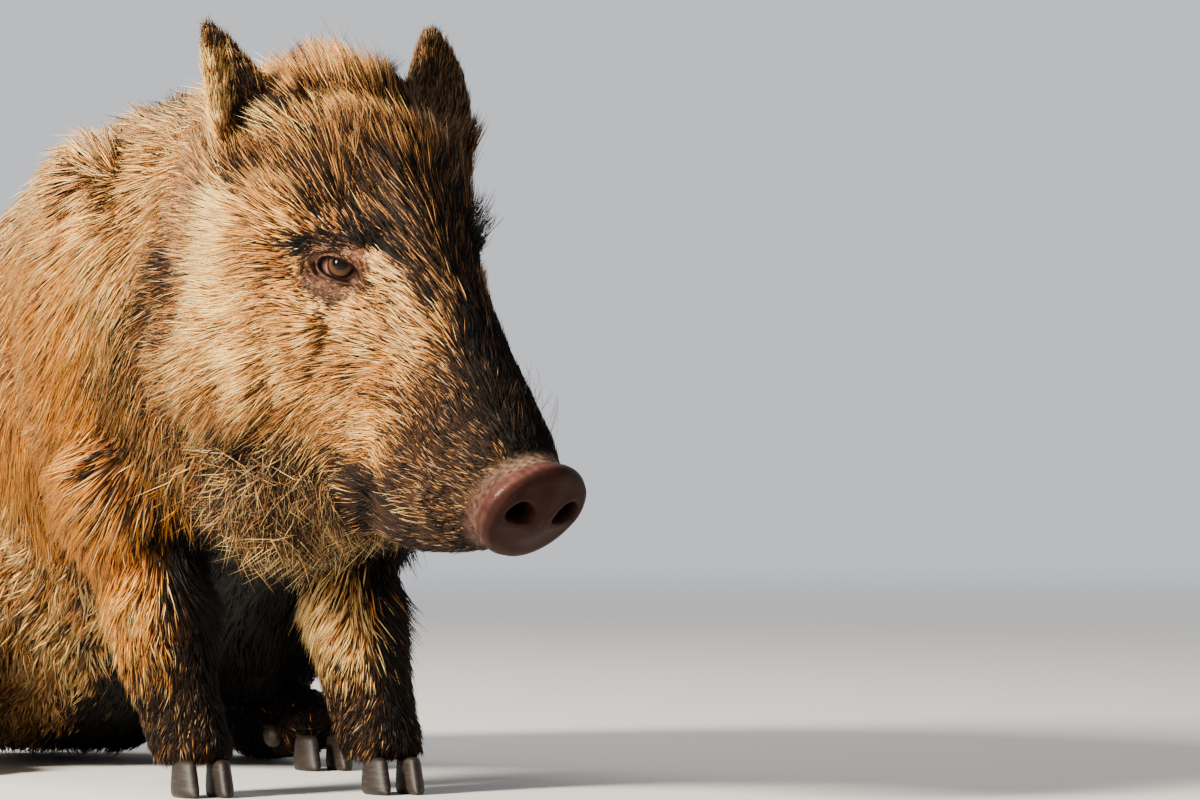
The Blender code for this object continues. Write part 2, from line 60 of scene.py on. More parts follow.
# ---- The head's own frame: forward, left and up from the occiput --------------------
HEAD_TURN = math.radians(26)
HEAD_DROP = math.radians(28.6)
EYE_PLACE = (0.1461, 0.0536, 0.0327)    # forward, sideways and up from the occiput
EYE_AIM = (0.42, 0.86, 0.24)
EYE_RADIUS = 12.5 * MM
DISC_PLACE = (0.3510, -0.0520)          # forward and up, of the middle of its face
DISC_HALF = (43 * MM, 39 * MM)
DISC_LEAN = 0.18                        # how far its top leans forward, to its height
EAR_ENDS = {"right": ((0.045, -0.058, 0.058), (-0.008, -0.1095, 0.1420)),
            "left": ((0.055, 0.100, 0.050), (-0.008, 0.1050, 0.1470))}
HEAD_AXES = np.array([[math.sin(HEAD_TURN) * math.cos(HEAD_DROP),
                       -math.cos(HEAD_TURN) * math.cos(HEAD_DROP), -math.sin(HEAD_DROP)],
                      [math.cos(HEAD_TURN), math.sin(HEAD_TURN), 0.0],
                      [0.0, 0.0, 0.0]])
HEAD_AXES[2] = np.cross(HEAD_AXES[0], HEAD_AXES[1])


def middle(node):
    low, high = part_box(node)
    return (np.array(low) + np.array(high)) / 2


OCCIPUT = ((middle("eye_right") + middle("eye_left")) / 2
           - EYE_PLACE[0] * HEAD_AXES[0] - EYE_PLACE[2] * HEAD_AXES[2])


def on_head(points):
    return OCCIPUT + np.asarray(points, float) @ HEAD_AXES


def to_head(points):
    return (points - OCCIPUT) @ HEAD_AXES.T


def unit(vectors):
    size = np.linalg.norm(vectors, axis=-1, keepdims=True)
    return vectors / np.maximum(size, 1e-12)


def ramp(value, start, end):
    """0 before start, 1 after end, smooth in between."""
    t = np.clip((value - start) / (end - start), 0, 1)
    return t * t * (3 - 2 * t)


def mix(a, b, t):
    return a + (b - a) * t


def bump(distance, width):
    return np.exp(-(distance / width) ** 2)


def waves(points, size, seed, count=7):
    """Smooth noise of about -1 to 1 whose features are about size across."""
    rng = np.random.default_rng(seed)
    total = np.zeros(len(points))
    for _ in range(count):
        way = unit(rng.normal(size=3)) * (2 * math.pi / (size * rng.uniform(1.2, 3.0)))
        total += np.sin(points @ way + rng.uniform(0, 6.28))
    return total / math.sqrt(count) * 1.2


def search_tree(points):
    tree = KDTree(len(points))
    for index, point in enumerate(points.tolist()):
        tree.insert(point, index)
    tree.balance()
    return tree


# ---- Meshes as arrays -----------------------------------------------------------------
def new_object(name, data):
    obj = bpy.data.objects.new(name, data)
    bpy.context.scene.collection.objects.link(obj)
    return obj


def read(items, key, columns=1, kind=float):
    """One property of a mesh's vertices, edges or other items, a row for each."""
    flat = np.empty(len(items) * columns, kind)
    items.foreach_get(key, flat)
    return flat if columns == 1 else flat.reshape(-1, columns)


def points_of(mesh):
    return read(mesh.vertices, "co", 3)


def set_points(mesh, points):
    mesh.vertices.foreach_set("co", np.ascontiguousarray(points, np.float32).ravel())
    mesh.update()


def normals_of(mesh):
    return read(mesh.vertex_normals, "vector", 3)


def edges_of(mesh):
    return read(mesh.edges, "vertices", 2, int)


def layer_of(mesh, name):
    return read(mesh.attributes[name].data, "value")


def triangles_of(mesh):
    mesh.calc_loop_triangles()
    return read(mesh.loop_triangles, "vertices", 3, np.int32)


def neighbour_mean(values, edges):
    """The mean of each vertex's neighbours."""
    n = len(values)
    a, b = edges[:, 0], edges[:, 1]
    degree = np.maximum(np.bincount(edges.ravel(), minlength=n), 1)
    columns = values.reshape(n, -1)
    out = np.empty_like(columns)
    for k in range(columns.shape[1]):
        column = columns[:, k]
        out[:, k] = (np.bincount(a, column[b], n) + np.bincount(b, column[a], n)) / degree
    return out.reshape(values.shape)


def diffuse(values, edges, rounds):
    for _ in range(rounds):
        values = 0.5 * values + 0.5 * neighbour_mean(values, edges)
    return values


def smooth_points(points, edges, weight, rounds):
    """Taubin smoothing, which keeps the volume; weight is 0 to 1 for each vertex."""
    weight = weight[:, None]
    for _ in range(rounds):
        for factor in (0.55, -0.57):
            points = points + factor * weight * (neighbour_mean(points, edges) - points)
    return points


def applied(obj, kind, **settings):
    """Runs one modifier and keeps its result as the object's mesh."""
    modifier = obj.modifiers.new(kind.title(), kind)
    for key, value in settings.items():
        setattr(modifier, key, value)
    bpy.context.view_layer.update()
    result = bpy.data.meshes.new_from_object(
        obj.evaluated_get(bpy.context.evaluated_depsgraph_get()))
    obj.modifiers.clear()
    old, obj.data = obj.data, result
    bpy.data.meshes.remove(old)


def welded(node):
    """A bmesh of a CAD node with the vertices that its import split joined again."""
    bm = bmesh.new()
    bm.from_mesh(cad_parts[node].data)
    bmesh.ops.remove_doubles(bm, verts=bm.verts, dist=1e-5)
    bmesh.ops.recalc_face_normals(bm, faces=bm.faces)
    bm.normal_update()
    return bm


# ---- The skin -----------------------------------------------------------------------
VOXEL = 3.6 * MM
OVERLAP = 0.9 * MM      # closes the CAD's cuts before the remesh


def flesh_tree():
    """A search tree over the CAD's flesh, and the node that each of its faces is of."""
    points, faces, owners = [], [], []
    for index, name in enumerate(FLESH):
        bm = welded(name)
        start = len(points)
        points += [v.co.copy() for v in bm.verts]
        faces += [[v.index + start for v in f.verts] for f in bm.faces]
        owners += [index] * len(bm.faces)
        bm.free()
    return BVHTree.FromPolygons(points, faces), np.array(owners)


def joined_flesh():
    mesh = bpy.data.meshes.new("skin")
    whole = bmesh.new()
    for name in FLESH:
        bm = welded(name)
        for vertex in bm.verts:
            vertex.co += vertex.normal * OVERLAP
        part = bpy.data.meshes.new("part")
        bm.to_mesh(part)
        bm.free()
        whole.from_mesh(part)
        bpy.data.meshes.remove(part)
    whole.to_mesh(mesh)
    whole.free()
    obj = new_object("skin", mesh)
    applied(obj, "REMESH", mode="VOXEL", voxel_size=VOXEL, adaptivity=0)
    keep_outer_shell(obj.data)
    return obj


def keep_outer_shell(mesh):
    bm = bmesh.new()
    bm.from_mesh(mesh)
    unseen = set(bm.verts)
    shells = []
    while unseen:
        front = [unseen.pop()]
        shell = []
        while front:
            vertex = front.pop()
            shell.append(vertex)
            for edge in vertex.link_edges:
                other = edge.other_vert(vertex)
                if other in unseen:
                    unseen.remove(other)
                    front.append(other)
        shells.append(shell)
    shells.sort(key=len)
    for shell in shells[:-1]:
        bmesh.ops.delete(bm, geom=shell, context="VERTS")
    bm.to_mesh(mesh)
    bm.free()


def owners_of(points):
    """The index in FLESH of the CAD node nearest to each point."""
    find = TREE.find_nearest
    return FACE_OWNER[[find(p)[2] for p in points.tolist()]]


def is_node(owner, *names):
    return np.isin(owner, [FLESH.index(name) for name in names])


def ear_share(head):
    """0 to 1, how far each point is in an ear; head is in the head's frame."""
    share = np.zeros(len(head))
    for base, tip in EAR_ENDS.values():
        base, tip = np.array(base), np.array(tip)
        along = unit(tip - base)
        t = (head - base) @ along / np.linalg.norm(tip - base)
        off = np.linalg.norm(head - base - np.outer((head - base) @ along, along), axis=1)
        share = np.maximum(share, ramp(t, 0.15, 0.42) * (1 - ramp(off, 0.040, 0.052)))
    return share


def eye_distance(head):
    eyes = [np.array((EYE_PLACE[0] + 0.006, side * 0.066, EYE_PLACE[2])) for side in SIDES.values()]
    return np.minimum(*(np.linalg.norm(head - eye, axis=1) for eye in eyes))


def coat_depth(points, owner):
    """How far the skin lies inside the tips of the coat."""
    head = to_head(points)
    f, u = head[:, 0], head[:, 2]
    z = points[:, 2]
    face = 5 + 12 * ramp(u, 0.055, 0.105) * ramp(-f, -0.12, -0.02)
    face = face + 9 * ramp(-u, 0.010, 0.110) * ramp(-f, -0.20, -0.10)
    face = mix(face, 1.8, ramp(f, 0.19, 0.27))
    face = mix(3.0, face, ramp(eye_distance(head), 0.026, 0.050))
    jaw = mix(14, 2.5, ramp(f, 0.20, 0.27))
    trunk = 13 + 6 * ramp(z, 0.44, 0.50)
    foreleg = mix(0.3, 5.0, ramp(z, 0.028, 0.060)) + 5 * ramp(z, 0.08, 0.16)
    hindleg = mix(0.3, 4.0, ramp(z, 0.024, 0.050)) + 8 * ramp(z, 0.08, 0.18)
    depth = np.select(
        [is_node(owner, "head"), is_node(owner, "lower_jaw"), is_node(owner, "snout_disc"),
         is_node(owner, "ear_right", "ear_left"), is_node(owner, "neck"),
         is_node(owner, "tail"), is_node(owner, "foreleg_right", "foreleg_left"),
         is_node(owner, "hindleg_right", "hindleg_left")],
        [face, jaw, 0.5, 0.7, 18, 3, foreleg, hindleg], trunk)
    return mix(depth, 0.7, ear_share(head)) * MM


def base_skin():
    obj = joined_flesh()
    mesh = obj.data
    points, edges = points_of(mesh), edges_of(mesh)
    owner = owners_of(points)
    head = to_head(points)
    ears = ear_share(head)
    on_face = is_node(owner, "head", "lower_jaw", "snout_disc").astype(float)
    small = np.maximum(ears, is_node(owner, "ear_right", "ear_left", "snout_disc"))
    small = diffuse(small.astype(float), edges, 4)
    points = smooth_points(points, edges, 1 - 0.95 * small, 14)
    body = diffuse(1 - np.maximum(on_face, small), edges, 6)
    points = smooth_points(points, edges, body, 60)
    set_points(mesh, points)
    depth = diffuse(coat_depth(points, owner), edges, 24)
    normals = unit(diffuse(normals_of(mesh), edges, 3))
    for _ in range(3):
        points = points - normals * (depth / 3)[:, None]
        points = points + 0.5 * (1 - small)[:, None] * (neighbour_mean(points, edges) - points)
        set_points(mesh, points)
        normals = unit(diffuse(normals_of(mesh), edges, 2))
    return obj


def refine(obj):
    """Coarser under the long coat of the body and finer on the face."""
    group = obj.vertex_groups.new(name="body")
    points = points_of(obj.data)
    head = to_head(points)
    near = np.minimum(np.linalg.norm(head - (0.20, 0, -0.03), axis=1),
                      np.linalg.norm(head - (0.06, 0, 0.06), axis=1))
    weight = ramp(near, 0.15, 0.19) * ramp(points[:, 2], 0.05, 0.07)
    for index in np.nonzero(weight > 0.02)[0].tolist():
        group.add([index], float(weight[index]), "REPLACE")
    applied(obj, "DECIMATE", ratio=0.42, vertex_group="body", vertex_group_factor=1.0)
    obj.vertex_groups.clear()
    bm = bmesh.new()
    bm.from_mesh(obj.data)
    head = to_head(np.array([v.co for v in bm.verts]))
    fine = (head[:, 0] > 0.10) & (np.abs(head[:, 1]) < 0.12) & (head[:, 2] > -0.13)
    fine &= np.array([v.co.y for v in bm.verts]) < -0.30
    edges = [e for e in bm.edges if fine[e.verts[0].index] and fine[e.verts[1].index]]
    bmesh.ops.subdivide_edges(bm, edges=edges, cuts=1, use_grid_fill=True, smooth=0.0)
    bmesh.ops.triangulate(bm, faces=[f for f in bm.faces if len(f.verts) > 4])
    bm.to_mesh(obj.data)
    bm.free()
    points, edges = points_of(obj.data), edges_of(obj.data)
    head = to_head(points)
    face = ramp(head[:, 0], 0.09, 0.12) * (points[:, 1] < -0.29)
    set_points(obj.data, smooth_points(points, edges, face, 6))


# ---- Patches: eyes and snout disc -------------------------------------------------------
LID_SECTORS = 120
LID_RINGS = 44
OPENING_MIDDLE = np.array([1.4, -3.95]) * MM      # from the eyeball's axis
OPENING_HALF = 16.2 * MM
UPPER_LID = 8.7 * MM
LOWER_LID = 4.6 * MM
LID_REACH = np.array([31, 25]) * MM
EYE_TILT = math.radians(6)


def eye_frame(side):
    """Centre, aim, forward along the lids and up across them."""
    aim = unit(np.array((EYE_AIM[0], side * EYE_AIM[1], EYE_AIM[2])) @ HEAD_AXES)
    along = unit(HEAD_AXES[0] - aim * (HEAD_AXES[0] @ aim))
    up = unit(HEAD_AXES[2] - aim * (HEAD_AXES[2] @ aim))
    up = unit(up - along * (up @ along))
    name = "right" if side < 0 else "left"
    centre = middle("eye_" + name)
    tilted = along * math.cos(EYE_TILT) + up * math.sin(EYE_TILT)
    raised = up * math.cos(EYE_TILT) - along * math.sin(EYE_TILT)
    return centre, aim, tilted, raised


def opening(angle):
    """The edge of the lids, forward and up from the eyeball's axis."""
    c, s = np.cos(angle), np.sin(angle)
    upper = UPPER_LID * (1 + 0.16 * c) * np.abs(s) ** mix(1.5, 0.8, ramp(-c, -0.9, 0.4))
    lower = LOWER_LID * (1 - 0.55 * c) * np.abs(s) ** mix(1.5, 0.9, ramp(-c, -0.6, 0.8))
    return np.stack([OPENING_MIDDLE[0] + OPENING_HALF * c,
                     OPENING_MIDDLE[1] + np.where(s > 0, upper, -lower)], 1)


def lid_height(flat):
    """Height of the lid edge along the eye's axis, over the eyeball."""
    r = np.linalg.norm(flat, axis=1) / MM
    return (EYE_RADIUS / MM + 1.0 - 0.021 * r ** 2) * MM


# Height, distance from the edge of the lids and width of each ridge or groove, in millimetres
LID_FOLDS = {
    "upper": [(-1.5, 4.4, 1.0), (1.1, 7.4, 2.1), (-0.8, 11.5, 1.3), (0.7, 15, 2.4)],
    "rear": [(-1.2, 3.6, 0.9), (1.3, 6.2, 1.5), (-1.0, 8.8, 1.0)],
    "lower": [(-1.2, 3.9, 0.9), (0.8, 6.2, 1.3), (-0.9, 8.6, 0.8), (0.5, 10.6, 1.0),
              (-0.7, 12.9, 0.9), (0.4, 15, 1.2), (-0.5, 17.4, 1.0)],
    "front": [(-1.0, 5.0, 1.1), (0.8, 8.0, 1.8)]}


def lid_folds(angle, gap, flat):
    """Rim, creases and wrinkles, by the distance from the edge of the lids."""
    c, s = np.cos(angle), np.sin(angle)
    where = {"upper": ramp(s, -0.1, 0.35), "rear": ramp(-c, 0.3, 0.8),
             "lower": ramp(-s, -0.1, 0.35), "front": ramp(c, 0.3, 0.85)}
    gap = gap / MM
    spot = np.stack([flat[:, 0], flat[:, 1], np.zeros(len(flat))], 1)
    gap = gap + ramp(gap, 2.5, 6) * (1.1 * waves(spot, 9 * MM, 11) + 0.5 * waves(spot, 4 * MM, 12))
    height = 0.9 * bump(gap - 1.3, 1.1)
    for name, folds in LID_FOLDS.items():
        height = height + where[name] * sum(rise * bump(gap - at, width)
                                            for rise, at, width in folds)
    height = height * mix(1, 0.75 + 0.45 * waves(spot, 7 * MM, 13), ramp(gap, 3, 7))
    for rise, size, seed in ((0.28, 2.0, 5), (0.35, 4.5, 6)):
        height += rise * waves(spot, size * MM, seed) * ramp(gap, 2, 5)
    return height * (1 - ramp(gap, 14, 21)) * MM


def lid_patch(side, surface):
    """Rings of points from the skin in to the eyeball, and the lid share of each point."""
    centre, aim, along, up = eye_frame(side)
    angle = np.arange(LID_SECTORS) * 2 * math.pi / LID_SECTORS
    edge = opening(angle)
    outer = OPENING_MIDDLE + np.stack([np.cos(angle), np.sin(angle)], 1) * LID_REACH
    outside = []
    for flat in outer:
        start = centre + along * flat[0] + up * flat[1] + aim * 0.05
        hit = surface.ray_cast(Vector(start), Vector(-aim), 0.12)[0]
        outside.append((np.array(hit) - centre) @ aim)
    outside = np.array(outside)
    rings, shares = [], []
    span = np.linalg.norm(outer - edge, axis=1)
    for k in range(LID_RINGS):
        t = (1 - k / (LID_RINGS - 1)) ** 1.5
        flat = mix(edge, outer, t)
        level = mix(lid_height(edge), outside, ramp(t, 0.0, 0.85))
        level = level + lid_folds(angle, t * span, flat)
        rings.append((flat, level))
        shares.append(t * span)
    inner = [(0.985, -0.7 * MM), (0.95, -1.6 * MM)]
    for scale, drop in inner:
        flat = OPENING_MIDDLE + (edge - OPENING_MIDDLE) * scale
        rings.append((flat, lid_height(edge) + drop))
        shares.append(np.zeros(LID_SECTORS))
    reach = np.linalg.norm(edge, axis=1, keepdims=True)
    for limit, sink in ((0.90, -0.1 * MM), (0.84, -1.2 * MM)):
        flat = edge / reach * np.minimum(reach * limit, EYE_RADIUS * limit)
        ball = np.sqrt(np.maximum(EYE_RADIUS ** 2 - (flat ** 2).sum(1), 0))
        rings.append((flat, ball + sink))
        shares.append(np.full(LID_SECTORS, -1 * MM))
    points = [centre + np.outer(flat[:, 0], along) + np.outer(flat[:, 1], up)
              + np.outer(level, aim) for flat, level in rings]
    return points, shares


DISC_SECTORS = 160
DISC_RINGS = 46
NOSTRIL = (21.0 * MM, 4.5 * MM)     # sideways and up from the disc's middle


def disc_level(head):
    """How far each point lies in front of the leaned face of the snout disc."""
    return head[:, 0] - DISC_PLACE[0] - DISC_LEAN * (head[:, 2] - DISC_PLACE[1])


def disc_outline(angle):
    c, s = np.cos(angle), np.sin(angle)
    return np.stack([DISC_HALF[0] * (1 + 0.05 * s) * c, DISC_HALF[1] * s], 1)


def nostril_pit(sideways, up):
    """Depth of the two comma-shaped nostrils and the swell of their rims."""
    x = np.abs(sideways) - NOSTRIL[0]
    y = up - NOSTRIL[1] - 0.10 * x
    r = np.sqrt((x / 12.8) ** 2 + ((y + 18 * x ** 2) / 9.4) ** 2) / MM
    return 18 * MM * (1 - ramp(r, 0.50, 1.02)) - 0.7 * MM * bump(r - 1.30, 0.34)


def disc_patch():
    """Rings from behind the snout disc, round its rim and in over its face."""
    angle = np.arange(DISC_SECTORS) * 2 * math.pi / DISC_SECTORS
    outline = disc_outline(angle)
    rings, shares = [], []
    for size, back in ((0.865, 21.5), (0.885, 18.5), (0.91, 16.0), (0.945, 13.8), (0.98, 11.6),
                       (1.0, 9.2), (1.008, 7.0), (1.003, 5.0), (0.988, 3.4), (0.965, 2.3)):
        rings.append((outline * size, -back * MM))
        shares.append(ramp(size, 0.90, 0.985) if back > 9 else 1.0)
    for k in range(DISC_RINGS):
        size = 0.945 * (1 - k / DISC_RINGS) ** 0.9
        dome = 7.0 - 7.0 * size ** 2 - 1.4 * size ** 14 + 0.8 * bump(size - 0.84, 0.10)
        rings.append((outline * size, dome * MM))
        shares.append(1.0)
    points = []
    for flat, level in rings:
        level = level + DISC_LEAN * flat[:, 1] - nostril_pit(flat[:, 0], flat[:, 1])
        swell = bump(flat[:, 0], 11 * MM) * ramp(level, 0, 5 * MM)
        level = level + 2.0 * MM * swell
        head = np.stack([DISC_PLACE[0] + level, flat[:, 0], DISC_PLACE[1] + flat[:, 1]], 1)
        points.append(on_head(head))
    return points, shares


def add_patch(bm, layer, cut, points, shares, close=False, flip=False):
    """Deletes the vertices in cut and joins rings of points into the hole."""
    open_before = {e for e in bm.edges if e.is_boundary}
    bmesh.ops.delete(bm, geom=cut, context="VERTS")
    rim = [e for e in bm.edges if e.is_boundary and e not in open_before]
    rings = []
    for ring, share in zip(points, shares):
        verts = [bm.verts.new(p) for p in ring.tolist()]
        share = np.broadcast_to(share, len(verts))
        for vertex, value in zip(verts, share.tolist()):
            vertex[layer] = value
        rings.append(verts)
    n = len(rings[0])
    for a, b in zip(rings, rings[1:]):
        for k in range(n):
            quad = (a[k], a[(k + 1) % n], b[(k + 1) % n], b[k])
            bm.faces.new(quad[::-1] if flip else quad)
    if close:
        tip = bm.verts.new(np.mean([v.co for v in rings[-1]], axis=0))
        tip[layer] = rings[-1][0][layer]
        for k in range(n):
            tri = (rings[-1][k], rings[-1][(k + 1) % n], tip)
            bm.faces.new(tri[::-1] if flip else tri)
    hem = [bm.edges.get((rings[0][k], rings[0][(k + 1) % n])) for k in range(n)]
    made = bmesh.ops.bridge_loops(bm, edges=rim + hem)
    bmesh.ops.triangulate(bm, faces=made["faces"])
    soften_join(rings[0] + [v for e in rim for v in e.verts])


def soften_join(seam, reach=4, rounds=14):
    """Evens out the vertices on and near a join."""
    near = set(seam)
    front = set(seam)
    for _ in range(reach):
        front = {e.other_vert(v) for v in front for e in v.link_edges} - near
        near |= front
    near = [v for v in near if not v.is_boundary]
    for _ in range(rounds):
        places = [sum((e.other_vert(v).co for e in v.link_edges), Vector()) / len(v.link_edges)
                  for v in near]
        for vertex, place in zip(near, places):
            vertex.co = vertex.co.lerp(place, 0.6)


def patched(obj):
    """Puts the lids and the snout disc into the skin, told by its layers lid and disc."""
    bm = bmesh.new()
    bm.from_mesh(obj.data)
    surface = BVHTree.FromBMesh(bm)
    lids = bm.verts.layers.float.new("lid")
    disc = bm.verts.layers.float.new("disc")
    for vertex in bm.verts:
        vertex[lids] = 1.0
    for side in SIDES.values():
        centre, aim, along, up = eye_frame(side)
        points, shares = lid_patch(side, surface)
        away = np.array([v.co for v in bm.verts]) - centre
        flat = np.stack([away @ along, away @ up], 1) - OPENING_MIDDLE
        inside = np.linalg.norm(flat / (LID_REACH + 1.3 * MM), axis=1) < 1
        inside &= np.abs(away @ aim) < 0.035
        cut = [v for v, gone in zip(bm.verts, inside) if gone]
        add_patch(bm, lids, cut, points, shares, flip=side > 0)
    points, shares = disc_patch()
    head = to_head(np.array([v.co for v in bm.verts]))
    cut = [v for v, level in zip(bm.verts, disc_level(head)) if level > -23.5 * MM]
    for vertex in bm.verts:
        vertex[disc] = 0.0
    add_patch(bm, disc, cut, points, shares, close=True)
    for vertex in bm.verts:
        if vertex[disc] > 0:
            vertex[lids] = 1.0
    bmesh.ops.recalc_face_normals(bm, faces=bm.faces)
    bm.to_mesh(obj.data)
    bm.free()


def path_distance(head, path):
    """From points in the head's frame to a path, which counts on both sides of the head."""
    folded = head * (1, 0, 1) + np.abs(head[:, 1:2]) * (0, 1, 0)
    nearest = np.full(len(head), 1.0)
    path = [np.array(p) for p in path]
    for a, b in zip(path, path[1:] or path):
        span = max((b - a) @ (b - a), 1e-12)
        t = np.clip((folded - a) @ (b - a) / span, 0, 1)
        nearest = np.minimum(nearest, np.linalg.norm(folded - a - t[:, None] * (b - a), axis=1))
    return nearest


def crease(points, normals, head, path, depth, width):
    """Presses a groove with a low lip on each side along a path in the head's frame."""
    away = path_distance(head, path)
    shape = -bump(away, width) + 0.4 * bump(away - 2.1 * width, width)
    return points + normals * (depth * shape)[:, None]


FOLDS = [   # path in the head's frame, depth and width in millimetres
    # the mouth
    ([(0.334, 0.030, -0.086), (0.312, 0.041, -0.087), (0.290, 0.045, -0.085),
      (0.268, 0.047, -0.084), (0.246, 0.050, -0.088), (0.232, 0.053, -0.097)], 4.2, 2.3),
    # the upper lip's fold, the cheek's and two across the nose
    ([(0.306, 0.048, -0.050), (0.300, 0.047, -0.064), (0.297, 0.046, -0.078)], 2.4, 2.0),
    ([(0.205, 0.070, 0.020), (0.216, 0.068, -0.005), (0.214, 0.068, -0.030)], 1.6, 4.0),
    ([(0.322, y * MM, 0.001) for y in (0, 12, 24)], 1.0, 2.0),
    ([(0.308, y * MM, 0.008) for y in (4, 16, 28)], 1.0, 2.0)]


def sculpt(obj):
    mesh = obj.data
    points, normals = points_of(mesh), normals_of(mesh)
    head = to_head(points)
    for path, depth, width in FOLDS:
        points = crease(points, normals, head, path, depth * MM, width * MM)
    set_points(mesh, points)


TREE, FACE_OWNER = flesh_tree()
skin = base_skin()
refine(skin)
patched(skin)
sculpt(skin)


# ---- The lie, length and colours of the coat -----------------------------------------
def linear(red, green, blue):
    """A colour given as it looks on a screen, as the shaders count it."""
    c = np.array([red, green, blue])
    return np.where(c <= 0.04045, c / 12.92, ((c + 0.055) / 1.055) ** 2.4)


BRISTLES = {  # root, middle and tip of each kind of bristle
    "dark": (linear(0.02, 0.014, 0.01), linear(0.055, 0.034, 0.022), linear(0.14, 0.085, 0.05)),
    "tan": (linear(0.07, 0.04, 0.02), linear(0.46, 0.27, 0.10), linear(0.93, 0.63, 0.31)),
    "pale": (linear(0.20, 0.12, 0.06), linear(0.84, 0.62, 0.34), linear(1.00, 0.89, 0.58)),
    "orange": (linear(0.14, 0.06, 0.02), linear(0.67, 0.375, 0.08), linear(0.97, 0.66, 0.20)),
    "grey": (linear(0.10, 0.07, 0.05), linear(0.42, 0.32, 0.22), linear(0.78, 0.64, 0.48)),
    "brown": (linear(0.04, 0.025, 0.015), linear(0.16, 0.10, 0.055), linear(0.34, 0.215, 0.12)),
    "gold": (linear(0.04, 0.02, 0.01), linear(0.20, 0.11, 0.05), linear(0.96, 0.66, 0.34)),
    "black": (linear(0.02, 0.014, 0.012), linear(0.04, 0.028, 0.022), linear(0.08, 0.06, 0.05))}
KINDS = list(BRISTLES)
PALETTE = np.array([BRISTLES[kind] for kind in KINDS])      # kind, place along, colour

REGIONS = {"face": ("head", "lower_jaw", "snout_disc"), "neck": ("neck",),
           "front": ("trunk_front",), "rear": ("trunk_rear", "hindleg_right", "hindleg_left"),
           "hind": ("hindleg_right", "hindleg_left"), "fore": ("foreleg_right", "foreleg_left"),
           "tail": ("tail",)}

# Paths on the head run forward, sideways and up from the occiput.
BROW = [(0.124, 0.083, 0.038), (0.142, 0.072, 0.049), (0.152, 0.063, 0.059),
        (0.160, 0.048, 0.063), (0.174, 0.038, 0.059)]
EAR_FOOT = [(0.012, 0.082, 0.066), (0.050, 0.095, 0.058), (0.064, 0.088, 0.080)]
OVER_CROWN = [(0.078, 0.050, 0.104), (0.074, 0.020, 0.118), (0.074, 0.000, 0.120)]
TEMPLE = [(0.030, 0.104, 0.060), (0.090, 0.094, 0.062)]
FRINGE = [(0.000, 0.040, 0.112), (0.020, 0.070, 0.100)]
FOREHEAD = [(0.130, 0.020, 0.095), (0.160, 0.024, 0.078), (0.190, 0.026, 0.050)]

# Markings and painted shade: strength, reach, path, then shares of dark, tan, pale, orange, grey,
# brown, gold and black bristles. Shares left out are none.
FACE_MARKS = [
    # pale before and under the eye, and on the cheek
    (1.0, 0.016, [(0.172, 0.052, 0.048), (0.186, 0.046, 0.044), (0.204, 0.046, 0.030),
                  (0.226, 0.044, 0.010)], 0.18, 0.32, 0.32, 0, 0.12, 0.06),
    (1.0, 0.020, [(0.150, 0.070, 0.006), (0.190, 0.060, -0.004)], 0.10, 0.36, 0.38, 0, 0.08, 0.08),
    (0.9, 0.024, [(0.196, 0.060, -0.054), (0.220, 0.056, -0.064)],
     0.05, 0.40, 0.50, 0.02, 0.01, 0.02),
    # beside the snout disc
    (0.7, 0.012, [(0.310, 0.046, -0.070), (0.326, 0.040, -0.040), (0.324, 0.030, -0.014)],
     0.36, 0.14, 0.06, 0, 0.12, 0.32),
    # dark before the ear and pale under it, down to the jowl
    (1.0, 0.032, [(0.032, 0.083, 0.088), (0.053, 0.089, 0.074), (0.048, 0.094, 0.056)],
     0.40, 0.12, 0, 0, 0, 0.32, 0.16),
    (0.8, 0.012, [(-0.004, 0.074, 0.064), (0.026, 0.090, 0.056), (0.046, 0.101, 0.040)],
     0.04, 0.42, 0.42, 0.04, 0, 0.08),
    (1.0, 0.026, [(0.050, 0.104, 0.032), (0.059, 0.102, -0.001), (0.063, 0.100, -0.034)],
     0, 0.08, 0.90, 0.02),
    (1.0, 0.040, [(0.090, 0.096, -0.040), (0.130, 0.090, -0.070)], 0.03, 0.34, 0.60, 0.03),
    (0.85, 0.028, [(0.063, 0.100, -0.040), (0.062, 0.098, -0.104)],
     0.04, 0.36, 0.54, 0.02, 0, 0.04),
    # behind the eye
    (0.85, 0.018, [(0.116, 0.092, 0.020), (0.122, 0.088, -0.010)], 0.14, 0.58, 0.12, 0, 0, 0.16)]
EYE_MARKS = [
    (1.0, 0.012, [(0.140, 0.074, 0.018), (0.162, 0.068, 0.015)], 0.40, 0.06, 0, 0, 0.22, 0.32),
    (1.0, 0.009, [(0.160, 0.060, 0.052), (0.170, 0.056, 0.040), (0.174, 0.056, 0.028)],
     0.70, 0.05, 0, 0, 0, 0.25)]
SMALL_MARKS = [     # below the eye, on top of the crown and at the back of the jowl
    (0.6, 0.024, [(0.166, 0.073, -0.011)], 0.08, 0.40, 0.36, 0, 0.02, 0.08, 0.06),
    (0.7, 0.034, [(0.044, 0.030, 0.128), (0.046, 0, 0.134)], 0.10, 0.47, 0.25, 0, 0, 0.05, 0.13),
    (0.5, 0.034, [(0.028, 0.097, -0.081)], 0.40, 0.30, 0.10, 0.02, 0.02, 0.10, 0.06)]
JOWL_FOLD = [       # painted shade in the fold behind the jowl
    (0.85, 0.034, [(0.010, 0.093, -0.044), (-0.005, 0.087, -0.096), (0.000, 0.088, -0.119),
                   (0.003, 0.086, -0.151), (0.000, 0.081, -0.179)], 0.62, 0.14, 0.02, 0, 0, 0.22),
    (0.75, 0.028, [(0.016, 0.094, -0.066), (0.026, 0.097, -0.084)], 0.50, 0.24, 0.06, 0, 0, 0.20)]


